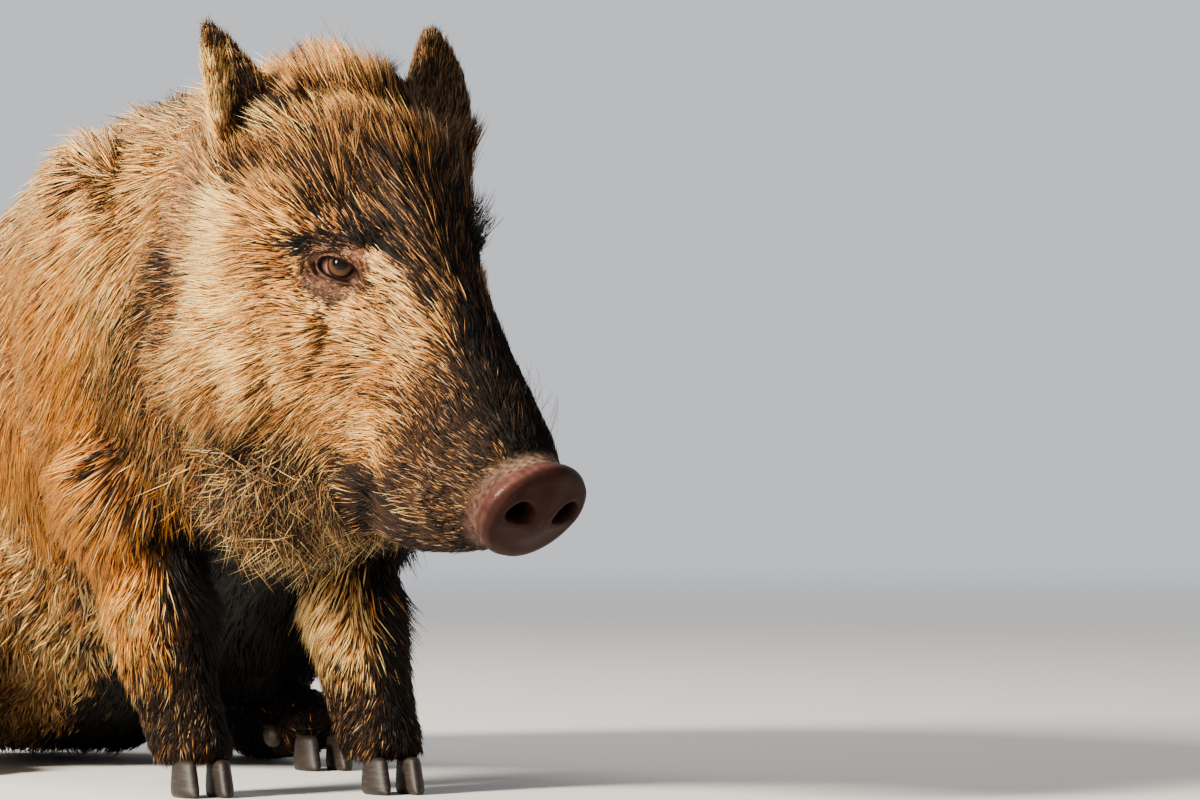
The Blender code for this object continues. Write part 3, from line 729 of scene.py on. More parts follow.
class Coat:
    """What the coat is like at each vertex of the skin."""

    def __init__(self, mesh):
        self.points = points_of(mesh)
        self.normals = normals_of(mesh)
        self.edges = edges_of(mesh)
        self.owner = owners_of(self.points)
        self.head = to_head(self.points)
        self.lid = layer_of(mesh, "lid")
        self.disc = layer_of(mesh, "disc")
        self.on = {region: is_node(self.owner, *names).astype(float)
                   for region, names in REGIONS.items()}
        self.ears = ear_share(self.head)
        self.near_eye = eye_distance(self.head)
        self.beard = self.beard_share()
        self.brow = self.near(BROW, 11.5 * MM)
        self.ear_foot = self.near(EAR_FOOT, 0.034)
        self.reading = 0.70     # where along a bristle its marking is read off the skin
        self.lie = self.lie_of_coat()
        self.length, self.width, self.lift, self.density = self.sizes()
        self.shares = self.kinds()

    def near(self, path, reach):
        """1 on a path in the head's frame, on both sides, and 0 beyond reach."""
        return 1 - ramp(path_distance(self.head, path), reach * 0.35, reach)

    def beard_share(self):
        f, u = self.head[:, 0], self.head[:, 2]
        y, z = self.points[:, 1], self.points[:, 2]
        start = mix(0.110, 0.086, ramp(f, 0.06, 0.16))
        under = self.on["face"] * ramp(-u, start, start + 0.036) * (1 - ramp(f, 0.17, 0.22))
        throat = self.on["neck"] * (1 - ramp(z, 0.20, 0.27)) * ramp(-y, 0.17, 0.22)
        return np.maximum(under, throat)

    def lie_of_coat(self):
        f, l, u = self.head.T
        x, y, z = self.points.T
        top = 1 - ramp(z, 0.42, 0.50)

        def way(*parts):
            return np.stack(np.broadcast_arrays(*parts, x)[:3], 1)

        # On the head, back from the snout: up towards the crown, down over the cheeks.
        rise = np.interp(u, [-0.14, -0.08, -0.04, -0.01, 0.03, 0.05, 0.08, 0.12],
                         [-2.2, -1.5, -1.05, -0.75, -0.45, 0.05, 0.55, 0.75])
        rise = mix(rise, -0.10, ramp(f, 0.15, 0.25))
        spread = 0.35 * np.clip(l / 0.06, -1, 1) * ramp(u, 0.02, 0.08)
        low = (1 - ramp(z, 0.06, 0.10))[:, None]
        cannon = way(0.1 * np.sign(x), -1.0, -0.15)
        ways = {"face": way(-1.0, spread, rise) @ HEAD_AXES, "neck": way(0.0, 0.75, -0.85 * top),
                "fore": way(0.0, 0.18, -1.0), "tail": way(0.0, 0.15, -1.0),
                "hind": mix(way(0.0, 0.55, -0.85), cannon, low * (y < 0.36)[:, None])}
        lie = way(0.0, 0.85, -0.60 * top - 0.7 * ramp(y, 0.42, 0.50))
        for region, here in ways.items():
            lie = np.where(self.on[region][:, None] > 0, here, lie)
        for base, tip in EAR_ENDS.values():
            along = unit(on_head(tip) - on_head(base))
            side = np.sign(l) == np.sign(base[1])
            for share in (self.ears * side, 0.75 * self.ear_foot * (1 - self.ears) * side):
                lie = mix(unit(lie), along, share[:, None])
        lie = mix(unit(lie), np.array([0, 0.25, -1.0]), (0.75 * self.beard)[:, None])
        lie = diffuse(unit(lie), self.edges, 16)
        return unit(lie - self.normals * (lie * self.normals).sum(1, keepdims=True))

    def sizes(self):
        """Length and width in metres, lift in radians and bristles per square metre."""
        f, l, u = self.head.T
        x, z = self.points[:, 0], self.points[:, 2]
        crown = ramp(u, 0.045, 0.115) * (1 - ramp(f, 0.02, 0.14))
        cheek = ramp(-f, -0.20, -0.10)
        muzzle = ramp(f, 0.20, 0.30)
        length = mix(20 + 5 * cheek + 8 * ramp(u, 0.03, 0.07) + 8 * cheek * ramp(-u, 0.04, 0.10),
                     12.0, muzzle)
        length = mix(length, 36, crown)
        length = mix(length, 42, self.near(OVER_CROWN, 0.046))
        length = mix(4.0, length, ramp(self.near_eye, 0.018, 0.044))
        width = mix(0.68, 0.52, muzzle)
        width = mix(0.45, width, ramp(self.near_eye, 0.016, 0.036))
        lift = mix(13 + 6 * cheek * ramp(-u, 0.04, 0.1), 11, muzzle)
        lift = mix(mix(8, lift, ramp(self.near_eye, 0.018, 0.036)), 14, crown)
        temple = self.near(TEMPLE, 0.040) * (l > 0)
        length, lift = mix(length, 34, temple), mix(lift, 30, temple)
        length = mix(length, 34, self.ear_foot * (l < 0))
        length = mix(length, 30, self.near(FRINGE, 0.030) * (l < 0))
        length = np.where(self.brow > 0.3, np.minimum(length, 13), length)
        density = mix(np.where(l < 0, 550e3, 415e3), 630e3, muzzle)
        density = mix(density, 1100e3, 1 - ramp(self.near_eye, 0.022, 0.040))
        mane = ramp(z, 0.44, 0.50) * (1 - ramp(np.abs(x - 0.01), 0.035, 0.080))
        low = 1 - ramp(z, 0.05, 0.14)
        rear_length = 42 + 18 * mane - 22 * low - 10 * ramp(np.abs(x), 0.12, 0.16)
        sizes = [length, width, lift, density]
        for region, values in (
                ("neck", (34 + 18 * mane, 0.78, 13 + 2 * mane, 430e3)),
                ("front", (38 + 18 * mane, 1.02, 12 + 1 * mane, 190e3)),
                ("rear", (rear_length, 1.7 - 0.7 * low, 11 + 3 * mane, 60e3 + 36e3 * low)),
                ("fore", (24 - 13 * low, 1.05 - 0.3 * low, 12, 260e3 + 130e3 * low)),
                ("tail", (26, 1.2, 18, 190e3))):
            sizes = [np.where(self.on[region] > 0, value, size)
                     for value, size in zip(values, sizes)]
        for share, values in ((self.ears, (11, 0.50, 13, 850e3)),
                              (self.beard, (36, 0.54, 32, 255e3))):
            sizes = [mix(size, value, share) for value, size in zip(values, sizes)]
        length, width, lift, density = (diffuse(size, self.edges, 5) for size in sizes)
        # the lids are bare, and there is a stubbly band behind the snout disc
        level = disc_level(self.head)
        density = density * ramp(self.lid, 2.4 * MM, 4.6 * MM)
        density = density * (1 - ramp(self.disc, 0.02, 0.2))
        density = density * mix(1, 0.30, ramp(level, -27 * MM, -20 * MM))
        length = mix(length, 4.0, ramp(level, -34 * MM, -22 * MM))
        # those that point at an eye end before it
        for side in SIDES.values():
            centre, aim = eye_frame(side)[:2]
            away = self.points - centre
            depth = away @ aim
            away = away - depth[:, None] * aim
            off = np.linalg.norm(away, axis=1)
            facing = -(away * self.lie).sum(1) / np.maximum(off, 1e-9)
            cap = 3.0 + 0.75 * np.maximum(off / MM - 19, 0)
            here = (facing > 0.25) & (np.abs(depth) < 0.03)
            length = np.where(here, np.minimum(length, cap), length)
        return length * MM, width * MM, np.radians(lift), density

    def kinds(self):
        """The share of each kind of bristle, for markings and painted shade. Later ones cover those
        before them.
        """
        f, l, u = self.head.T
        x, y, z = self.points.T
        forward = HEAD_AXES[0]
        all_black = np.array(KINDS) == "black"
        face, neck, front, rear, fore, tail = (
            self.on[region] for region in ("face", "neck", "front", "rear", "fore", "tail"))
        mixed = np.full((len(x), len(KINDS)), 1 / len(KINDS))

        def shade(mask, *shares):
            nonlocal mixed
            goal = np.zeros(len(KINDS))
            goal[:len(shares)] = shares
            mixed = mix(mixed, goal / goal.sum(), np.clip(mask, 0, 1)[:, None])

        def shade_paths(marks):
            for strength, reach, path, *shares in marks:
                shade(strength * self.near(path, reach), *shares)

        # cheeks golden; forehead and crown dark under golden tips
        shade(face, 0.14, 0.50, 0.14, 0.05, 0.01, 0.10, 0.10)
        shade(face * ramp(u, 0.045, 0.080), 0.54, 0, 0.01, 0, 0, 0.17, 0.28)
        shade(face * ramp(u, 0.084, 0.136) * (1 - ramp(f, 0.05, 0.12)),
              0.14, 0.43, 0.10, 0, 0.02, 0.05, 0.26)
        shade(self.near(FOREHEAD, 0.042), 0.52, 0, 0, 0, 0, 0.12, 0.12, 0.24)
        # muzzle brown, with a darker top; painted shade over the far side of the bridge, of the
        # face and of the temple
        shade(face * ramp(f, 0.215, 0.262), 0.36, 0.03, 0, 0, 0.06, 0.51, 0.04)
        shade(face * ramp(f, 0.262, 0.290), 0.38, 0.02, 0, 0, 0.06, 0.51, 0.03)
        # a dark stripe down the bridge, carried on over its far side as painted shade
        edge = mix(-0.002, -0.030, ramp(f, 0.17, 0.29))
        ridge_stripe_and_shade = ramp(l, edge - 0.014, edge + 0.008) * (1 - ramp(l, 0.046, 0.070)) * (u > -0.05)
        shade(face * ramp(f, 0.10, 0.20) * ridge_stripe_and_shade, 0.74, 0.02, 0, 0, 0.03, 0.17, 0.04)
        # painted shade: the far side of the face made darker
        shade(face * ramp(l, 0.004, 0.034) * (1 - ramp(l, 0.050, 0.085))
              * (1 - ramp(u, 0.090, 0.116)), 0.60, 0.03, 0, 0, 0.07, 0.26, 0.04)
        # black down the front of the bridge: its dark stripe, deepened with painted shade
        shade(0.9 * face * ramp(f, 0.200, 0.245) * ridge_stripe_and_shade * (1 - ramp(l, 0.020, 0.050)),
              0.20, 0, 0, 0, 0, 0.06, 0, 0.74)
        # painted shade on the far temple
        shade(0.8 * face * ramp(l, 0.03, 0.06) * (1 - ramp(f, 0.08, 0.12)) * (u > 0.0),
              0.46, 0.06, 0, 0, 0.16, 0.32)
        shade_paths(FACE_MARKS)
        # about the eye: short pinkish fur behind, dark before and below it, and the brow
        shade(1 - ramp(self.near_eye, 0.020, 0.028), 0.16, 0.14, 0.08, 0, 0.34, 0.28)
        shade_paths(EYE_MARKS)
        shade(self.brow, *all_black)
        # dark lips, the corner of the mouth, and a lighter place between the eyes
        shade(face * ramp(-u, 0.078, 0.094) * ramp(f, 0.16, 0.21), 0.70, 0.01, 0, 0, 0.04, 0.25)
        shade(0.8 * self.near([(0.262, 0.040, -0.093), (0.262, 0.026, -0.119)], 0.030),
              0.82, 0.01, 0, 0, 0.02, 0.15)
        shade(0.5 * self.near([(0.196, 0.013, 0.057)], 0.024) * (l < 0),
              0.40, 0.20, 0.06, 0, 0.04, 0.20, 0.10)
        shade_paths(SMALL_MARKS)
        # neck and shoulders, golden and orange
        shade(neck, 0.04, 0.46, 0.34, 0.05, 0.04, 0.07)
        shade(neck * (1 - ramp(z, 0.25, 0.34)), 0.36, 0.34, 0.10, 0.02, 0, 0.10, 0.08)
        shade(front, 0.03, 0.38, 0.18, 0.38, 0, 0.03)
        shade(front * ramp(z, 0.36, 0.44), 0.07, 0.38, 0.34, 0.02, 0.14, 0.05)
        shade(front * (1 - ramp(z, 0.24, 0.36)), 0.05, 0.22, 0.03, 0.64, 0, 0.06)
        shade(0.9 * (neck + front) * self.near([(0.026, 0.077, -0.196), (0.017, 0.082, -0.226),
                                                (0.042, 0.067, -0.228)], 0.044),
              0.34, 0.26, 0.08, 0.06, 0.06, 0.16, 0.04)
        shade(rear, 0.04, 0.30, 0.46, 0.03, 0.14, 0.03)
        shade(tail, 0.55, 0.35, 0, 0, 0.1)
        mane = ramp(z, 0.40, 0.49) * (1 - ramp(np.abs(x - 0.01), 0.03, 0.07))
        shade(0.5 * ((neck + front + rear) * mane), 0.36, 0.36, 0.12, 0, 0.06, 0.10)
        # forelegs, dark below; painted shade on their inner sides, on the right one's inner front
        # and on the left one's outer side
        right, left = fore * (x < 0.02), fore * (x >= 0.02)
        shade(right, 0.03, 0.28, 0.24, 0.43, 0, 0.02)
        # painted shade on the inner front of the right foreleg
        shade(right * ramp(-self.normals[:, 1], 0.0, 0.6) * ramp(x, -0.080, -0.056),
              0.70, 0.02, 0, 0, 0, 0.28)
        shade(left, 0.02, 0.30, 0.62, 0.03, 0.02, 0.01)
        shade(fore * (1 - ramp(z, 0.060, 0.105)), 0.66, 0.04, 0.01, 0, 0.05, 0.24)
        # painted shade on the outer side of the left foreleg
        shade(left * ramp(x, 0.080, 0.098), 0.30, 0.01, 0, 0, 0, 0.07, 0, 0.62)
        # painted shade: black between the limbs, in the fold of the belly and on their inner sides
        shade((neck + front) * ramp(-z, -0.240, -0.185) * ramp(x, -0.085, -0.055), *all_black)
        # painted shade on the inner sides of the right foreleg and the hind legs
        inner = (right + rear) * ramp(-np.sign(x - 0.01) * self.normals[:, 0], 0.1, 0.5)
        shade(inner * (1 - ramp(z, 0.18, 0.26)), *all_black)
        # painted shade on the low parts behind the forelegs that face forward
        facing = rear * ramp(-self.normals[:, 1], -0.3, 0.1) * (1 - ramp(z, 0.18, 0.24))
        shade(facing * ramp(x, -0.050, -0.010), *all_black)
        # dark low down at the front of the hind parts
        shade(rear * (1 - ramp(z, 0.03, 0.06)) * (y < 0.20), 0.94, 0.06)
        # painted shade in the fold behind the jowl
        shade_paths(JOWL_FOLD)
        shade(self.beard, 0.56, 0.06, 0.17, 0, 0.12, 0.09)
        # ears: the near one pale with a dark tip and painted shade in its hollow, the far one dark,
        # partly painted shade, with a brown band
        hollow = self.ears * ramp(self.normals @ forward, 0.05, 0.5)
        near_ear, far_ear = self.ears * (l < 0), self.ears * (l > 0)
        shade(near_ear, 0.05, 0.38, 0.40, 0.02, 0.03, 0.08, 0.04)
        # the far ear darker: its own dark hair, made darker still as painted shade
        shade(far_ear, 0.34, 0.02, 0, 0, 0.30, 0.34)
        # painted shade in the hollow of the near ear
        shade(hollow * (l < 0) * ramp(l, -0.098, -0.084), 0.78, 0.02, 0, 0, 0, 0.20)
        shade(far_ear * bump(u - 0.134, 0.007), 0.20, 0.30, 0.02, 0, 0.08, 0.40)
        shade(near_ear * ramp(u, 0.124, 0.138), 0.50, 0.06, 0.01, 0, 0.08, 0.35)
        shade(self.near([(0.019, 0.047, 0.119)], 0.024) * (l < 0),
              0.26, 0.36, 0.06, 0, 0.02, 0.06, 0.24)
        # painted shade in the hollow between the near ear and the crown
        shade(self.near([(0.030, 0.052, 0.096), (0.010, 0.060, 0.104)], 0.016) * (l < 0),
              0.92, 0.08)
        return diffuse(mixed, self.edges, 4)


def lid_colour(coat, under_coat):
    """Bare lids with a dark rim and painted shade along the first crease, pinkish inside, blending
    into what lies under the coat.
    """
    gap = coat.lid[:, None]
    lower = (coat.head[:, 2] < 0.030)[:, None]
    bare = np.where(lower, linear(0.34, 0.23, 0.175), linear(0.50, 0.34, 0.25))
    blotch = (0.85 + 0.25 * waves(coat.points, 3 * MM, 21))[:, None]
    # painted shade along the first crease round the lids
    colour = mix(bare * blotch * (1 - 0.4 * bump(gap - 4.2 * MM, 0.9 * MM)), under_coat,
                 ramp(gap, 10 * MM, 20 * MM))
    colour = mix(linear(0.06, 0.04, 0.035), colour, ramp(gap, 0.9 * MM, 2.4 * MM))
    at_rear = 1 - ramp(coat.head[:, 0], EYE_PLACE[0] - 4 * MM, EYE_PLACE[0] + 4 * MM)
    inner = mix(linear(0.22, 0.13, 0.11), linear(0.46, 0.31, 0.27), at_rear[:, None])
    colour = mix(inner, colour, ramp(gap, -0.7 * MM, -0.1 * MM))
    for side in SIDES.values():
        centre, aim, along, up = eye_frame(side)
        corner = centre + along * 14.5 * MM + up * -5 * MM + aim * 8 * MM
        pink = bump(np.linalg.norm(coat.points - corner, axis=1), 2.6 * MM) * (coat.lid < 1.5 * MM)
        colour = mix(colour, linear(0.60, 0.44, 0.39), (0.7 * pink)[:, None])
    return colour


def nose_colour(coat):
    """The stubbly skin behind the snout disc, lighter on top and on the right side: pale dust on
    it, and painted sheen.
    """
    # lighter on top and on the right side: partly pale dust, partly painted sheen
    pale_dust_and_sheen = ramp(coat.head[:, 2], -0.036, -0.016) * (1 - ramp(coat.head[:, 1], 0.0, 0.03))
    colour = mix(linear(0.30, 0.21, 0.17), linear(0.47, 0.37, 0.31), pale_dust_and_sheen[:, None])
    return colour * (0.8 + 0.35 * waves(coat.points, 2.5 * MM, 22))[:, None]


def disc_colour(coat):
    """Dark maroon, rosy at the rim, with painted light making the upper rim and the right side's
    rim rosier; painted shade nearly black in the nostrils.
    """
    l, up = coat.head[:, 1], coat.head[:, 2] - DISC_PLACE[1]
    maroon = linear(0.15, 0.07, 0.052) * (0.9 + 0.12 * waves(coat.points, 6 * MM, 23))[:, None]
    rosy = linear(0.36, 0.225, 0.20) * (0.9 + 0.2 * waves(coat.points, 4 * MM, 24))[:, None]
    at_rim = 1 - ramp(disc_level(coat.head), -6 * MM, -1 * MM)
    # the rim's own rosy tint, stronger on top and on the right side as painted light
    rosy_rim_and_painted_light = 0.8 * at_rim * mix(0.3, 1, ramp(up, 0.0, 0.034)) * ramp(-l, -0.02, 0.02)
    colour = mix(maroon, rosy, rosy_rim_and_painted_light[:, None])
    # painted shade, deepening down the nostrils
    nostril_shade = ramp(nostril_pit(l, up), 2 * MM, 9 * MM)
    return mix(colour, linear(0.05, 0.02, 0.02), nostril_shade[:, None])


def skin_colour(coat):
    """The hide under the coat takes its markings and painted shade; bare skin shows at eyes, muzzle
    and disc.
    """
    colour = coat.shares @ mix(PALETTE[:, 0], PALETTE[:, 1], 0.45)
    colour = np.where((coat.lid < 0.5)[:, None], lid_colour(coat, colour), colour)
    nose = ramp(disc_level(coat.head), -31 * MM, -22 * MM)[:, None]
    colour = mix(colour, nose_colour(coat), 0.85 * nose)
    return mix(colour, disc_colour(coat), ramp(coat.disc, 0.1, 0.8)[:, None])


# ---- Materials -------------------------------------------------------------------------
def new_material(name, roughness, **constants):
    """A Principled material; constants are set on the shader's own sockets."""
    material = bpy.data.materials.new(name)
    material.use_nodes = True
    shader = material.node_tree.nodes["Principled BSDF"]
    shader.inputs["Roughness"].default_value = roughness
    for socket, value in constants.items():
        shader.inputs[socket.replace("_", " ")].default_value = value
    return material, shader


def node(material, kind, *values, out=0, **settings):
    """Adds a node and returns one of its outputs. Values fill its inputs in their order, and
    settings its inputs or options by name; a value that is an output is wired in."""
    made = material.node_tree.nodes.new("ShaderNode" + kind)
    for key, value in (*settings.items(), *enumerate(values)):
        if isinstance(key, str) and key[0].islower():
            setattr(made, key, value)
            continue
        socket = made.inputs[key.replace("_", " ") if isinstance(key, str) else key]
        if isinstance(value, bpy.types.NodeSocket):
            material.node_tree.links.new(value, socket)
        else:
            socket.default_value = value
    return made.outputs[out]


def wire(material, target, **outputs):
    for key, value in outputs.items():
        material.node_tree.links.new(value, target.inputs[key.replace("_", " ")])


def colour_bands(material, value, stops):
    """Colours that change with a value, from stops of place and colour."""
    bands = node(material, "ValToRGB", value)
    elements = bands.node.color_ramp.elements
    elements.remove(elements[0])
    for k, (place, colour) in enumerate(stops):
        element = elements[0] if k == 0 else elements.new(place)
        element.position = place
        element.color = (*linear(*colour), 1)
    return bands


def object_place(material):
    return node(material, "TexCoord", out="Object")


def coat_material():
    material, shader = new_material("bristles", 0.55, Specular_IOR_Level=0.15)
    wire(material, shader, Base_Color=node(material, "Attribute", attribute_name="marking_and_shade"))
    return material


def skin_material():
    material, shader = new_material("hide", 0.6, Specular_IOR_Level=0.06)
    place = object_place(material)
    marking_and_shade = node(material, "Attribute", attribute_name="marking_and_shade")
    wet = node(material, "Attribute", attribute_name="wet", out="Fac")
    fine = node(material, "TexNoise", place, Scale=420.0, Detail=5.0, Roughness=0.6)
    pores = node(material, "TexVoronoi", place, Scale=700.0)
    mottle = node(material, "MapRange", fine, To_Min=0.78, To_Max=1.22)
    relief = node(material, "Math", pores, 0.6, fine, operation="MULTIPLY_ADD")
    wire(material, shader,
         Base_Color=node(material, "MixRGB", 1.0, marking_and_shade, mottle, blend_type="MULTIPLY"),
         Roughness=node(material, "MapRange", wet, To_Min=0.62, To_Max=0.27),
         Normal=node(material, "Bump", Strength=0.35, Distance=0.0006, Height=relief))
    return material


def eye_material():
    """Olive-brown iris with a wide dark pupil, by the distance from the eye's axis."""
    material, shader = new_material("eyeball", 0.8, Specular_IOR_Level=0.0, Coat_Weight=0.16,
                                    Coat_Roughness=0.02)
    place = object_place(material)
    squash = node(material, "Mapping", place, Scale=(1 / (6.4 * MM), 1 / (5.0 * MM), 0))
    pupil = node(material, "VectorMath", squash, operation="LENGTH", out="Value")
    flat = node(material, "Mapping", place, Scale=(1 / EYE_RADIUS, 1 / EYE_RADIUS, 0))
    iris = node(material, "VectorMath", flat, operation="LENGTH", out="Value")
    spin = node(material, "VectorMath", flat, operation="NORMALIZE")
    fibres = node(material, "TexNoise", spin, Scale=14.0, Detail=5.0, Roughness=0.7)
    streak = node(material, "MapRange", fibres, To_Min=0.35, To_Max=1.65)
    bands = colour_bands(material, iris, [
        (0.0, (0.05, 0.03, 0.02)), (0.36, (0.14, 0.09, 0.055)), (0.64, (0.27, 0.175, 0.105)),
        (0.73, (0.11, 0.07, 0.045)), (0.80, (0.04, 0.025, 0.02)), (0.86, (0.34, 0.23, 0.20)),
        (0.95, (0.52, 0.38, 0.33))])
    tint = node(material, "MixRGB", 0.9, bands, streak, blend_type="MULTIPLY")
    hole = node(material, "MapRange", pupil, From_Min=0.80, From_Max=1.12,
                interpolation_type="SMOOTHSTEP")
    black = (0.004, 0.003, 0.003, 1)
    wire(material, shader, Base_Color=node(material, "MixRGB", hole, black, tint))
    return material


def horn_material():
    material, shader = new_material("horn", 0.55, Specular_IOR_Level=0.3)
    stretch = node(material, "Mapping", object_place(material), Scale=(60, 60, 420))
    rings = node(material, "TexNoise", stretch, Scale=1.0, Detail=6.0, Roughness=0.6)
    wire(material, shader,
         Base_Color=colour_bands(material, rings, [
             (0.25, (0.05, 0.038, 0.03)), (0.55, (0.12, 0.09, 0.07)), (0.80, (0.24, 0.19, 0.145))]),
         Normal=node(material, "Bump", Strength=0.5, Distance=0.001, Height=rings))
    return material


def paint(mesh, name, colours):
    """A colour for each vertex, as an attribute."""
    layer = mesh.attributes.new(name, "FLOAT_COLOR", "POINT")
    full = np.ones((len(colours), 4), np.float32)
    full[:, :3] = np.clip(colours, 0, 1)
    layer.data.foreach_set("color", full.ravel())


# ---- The coat's bristles -----------------------------------------------------------------
PATCH = 0.0015        # half of a bristle's place on the OFBake map
CLUMP_SHARE = 7       # bristles to a clump
ROOT_DEPTH = 0.4 * MM
FLOOR_GAP = 0.6 * MM


def coat_regions(coat, triangles):
    """The coat piece that each triangle of the skin grows."""
    on = {region: share[triangles[:, 0]] > 0 for region, share in coat.on.items()}
    f, l, u = coat.head[triangles].mean(1).T
    side = np.where(on["face"], l > 0.0, coat.points[triangles].mean(1)[:, 0] > 0.01)
    name = np.full(len(triangles), "trunk_rear", "<U24")
    for piece, here in (("neck", on["neck"]), ("shoulder", on["front"]), ("foreleg", on["fore"]),
                        ("hindleg", on["hind"]), ("face", on["face"]),
                        ("muzzle", on["face"] & (f > 0.205)),
                        ("crown", on["face"] & (f <= 0.205) & (u > 0.060)),
                        ("ear", coat.ears[triangles].mean(1) > 0.5)):
        name[here] = piece
    name = np.char.add(name, np.where(side, "_left", "_right"))
    name[on["tail"]] = "tail"
    return name


def unwrap(points, triangles):
    """Corner coordinates of an unwrap of these triangles, which fills the square."""
    used, compact = np.unique(triangles, return_inverse=True)
    mesh = bpy.data.meshes.new("unwrap")
    mesh.from_pydata(points[used].tolist(), [], compact.reshape(-1, 3).tolist())
    obj = new_object("unwrap", mesh)
    bpy.context.view_layer.objects.active = obj
    obj.select_set(True)
    bpy.ops.object.mode_set(mode="EDIT")
    bpy.ops.mesh.select_all(action="SELECT")
    bpy.ops.uv.smart_project(angle_limit=math.radians(75), island_margin=0.004)
    bpy.ops.object.mode_set(mode="OBJECT")
    corners = read(mesh.uv_layers.active.data, "uv", 2).reshape(-1, 3, 2)
    bpy.data.objects.remove(obj)
    bpy.data.meshes.remove(mesh)
    return corners


def spread_roots(coat, triangles, rng):
    """Random roots by density: the triangle of each and its place in it."""
    corners = coat.points[triangles]
    area = np.linalg.norm(np.cross(corners[:, 1] - corners[:, 0], corners[:, 2] - corners[:, 0]),
                          axis=1) / 2
    weight = area * coat.density[triangles].mean(1)
    total = np.cumsum(weight)
    count = int(total[-1])
    pick = np.searchsorted(total, (np.arange(count) + rng.random(count)) / count * total[-1])
    pick = np.minimum(pick, len(triangles) - 1)
    a, b = rng.random((2, count))
    over = a + b > 1
    a, b = np.where(over, 1 - a, a), np.where(over, 1 - b, b)
    return pick, np.stack([1 - a - b, a, b], 1)


def turned(start, towards, angle):
    """Directions turned from start by an angle towards others at right angles to them."""
    return start * np.cos(angle)[:, None] + towards * np.sin(angle)[:, None]


def bristle_paths(coat, at_root, root, normal, steps, rng):
    """Points along each bristle, its width, and the leader of its clump."""
    n = len(root)
    lie = at_root(coat.lie)
    lie = unit(lie - normal * (lie * normal).sum(1, keepdims=True))
    beard = at_root(coat.beard)
    turn = (0.20 * waves(root, 0.045, 31) + 0.15 * waves(root, 0.014, 32)
            + rng.normal(0, 0.13, n) + beard * rng.normal(0, 0.60, n))
    way = turned(lie, np.cross(normal, lie), turn)
    length = at_root(coat.length) * np.exp(rng.normal(0, 0.20, n))
    width = at_root(coat.width) * rng.uniform(0.75, 1.25, n)
    lift = at_root(coat.lift) * np.exp(rng.normal(0, 0.30, n))
    leaders = rng.choice(n, max(n // CLUMP_SHARE, 1), replace=False)
    tree = search_tree(root[leaders])
    clump = leaders[[tree.find(p)[1] for p in root.tolist()]]
    hooked = rng.normal(0, 0.10, n) + beard * rng.normal(0, 0.9, n)
    spots = [root - normal * ROOT_DEPTH]
    last = 0.0
    for step in steps:
        heading = turned(way, np.cross(normal, way), hooked * step)
        heading = turned(heading, normal, lift * mix(1.25, 0.25, (last + step) / 2))
        spots.append(spots[-1] + heading * (length * (step - last))[:, None])
        last = step
    # bristles lean towards the tip of their clump's leader
    grip = 0.42 * (1 - 0.7 * beard)
    lean = (spots[-1][clump] - spots[-1]) * grip[:, None]
    most = np.minimum(1, 0.45 * length / np.maximum(np.linalg.norm(lean, axis=1), 1e-9))
    for k, step in enumerate(steps, 1):
        spots[k] = spots[k] + lean * (most * step ** 1.6)[:, None]
    return spots, width, clump


def bristle_colours(coat, root, tip, clump, steps, rng):
    """Colours along each bristle; its kind is much alike within a clump."""
    n = len(root)
    lying = np.array([PLACES.find(p)[1] for p in mix(root, tip, coat.reading).tolist()])
    shares = np.maximum(coat.shares[lying], 0)
    shares = shares / shares.sum(1, keepdims=True)
    streak = 0.5 + 0.30 * waves(root, 0.011, 41) + 0.12 * waves(root, 0.035, 42)
    luck = 0.58 * rng.random(n) + 0.32 * rng.random(n)[clump] + 0.10 * streak
    luck = np.argsort(np.argsort(luck)) / n
    kind = np.minimum((luck[:, None] > np.cumsum(shares, 1)).sum(1), len(KINDS) - 1)
    tone = np.exp(rng.normal(0, 0.16, n) + 0.10 * waves(root, 0.05, 43))[:, None]
    colours = [PALETTE[kind, 0] * tone]
    for step in steps:
        span = min(step * 2, 2)
        low = int(min(span, 1.999))
        colours.append(mix(PALETTE[kind, low], PALETTE[kind, low + 1], span - low) * tone)
    return colours


def bristle_faces(rings):
    """Vertex 0 is the root, then three to a ring, and the last is the tip."""
    turns = [(j, (j + 1) % 3) for j in range(3)]
    faces = [(0, 2, 1), (0, 3, 2), (0, 1, 3)]
    for a in range(1, 3 * rings - 2, 3):
        for j, i in turns:
            faces += [(a + j, a + i, a + 3 + i), (a + j, a + 3 + i, a + 3 + j)]
    last, tip = 3 * rings - 2, 3 * rings + 1
    return np.array(faces + [(last + j, last + i, tip) for j, i in turns])


def triangle_mesh(name, vertices, faces):
    mesh = bpy.data.meshes.new(name)
    mesh.vertices.add(len(vertices))
    mesh.vertices.foreach_set("co", vertices.astype(np.float32).ravel())
    mesh.loops.add(faces.size)
    mesh.loops.foreach_set("vertex_index", faces.astype(np.int32).ravel())
    mesh.polygons.add(len(faces))
    mesh.polygons.foreach_set("loop_start", np.arange(len(faces), dtype=np.int32) * 3)
    mesh.update(calc_edges=True)
    return mesh


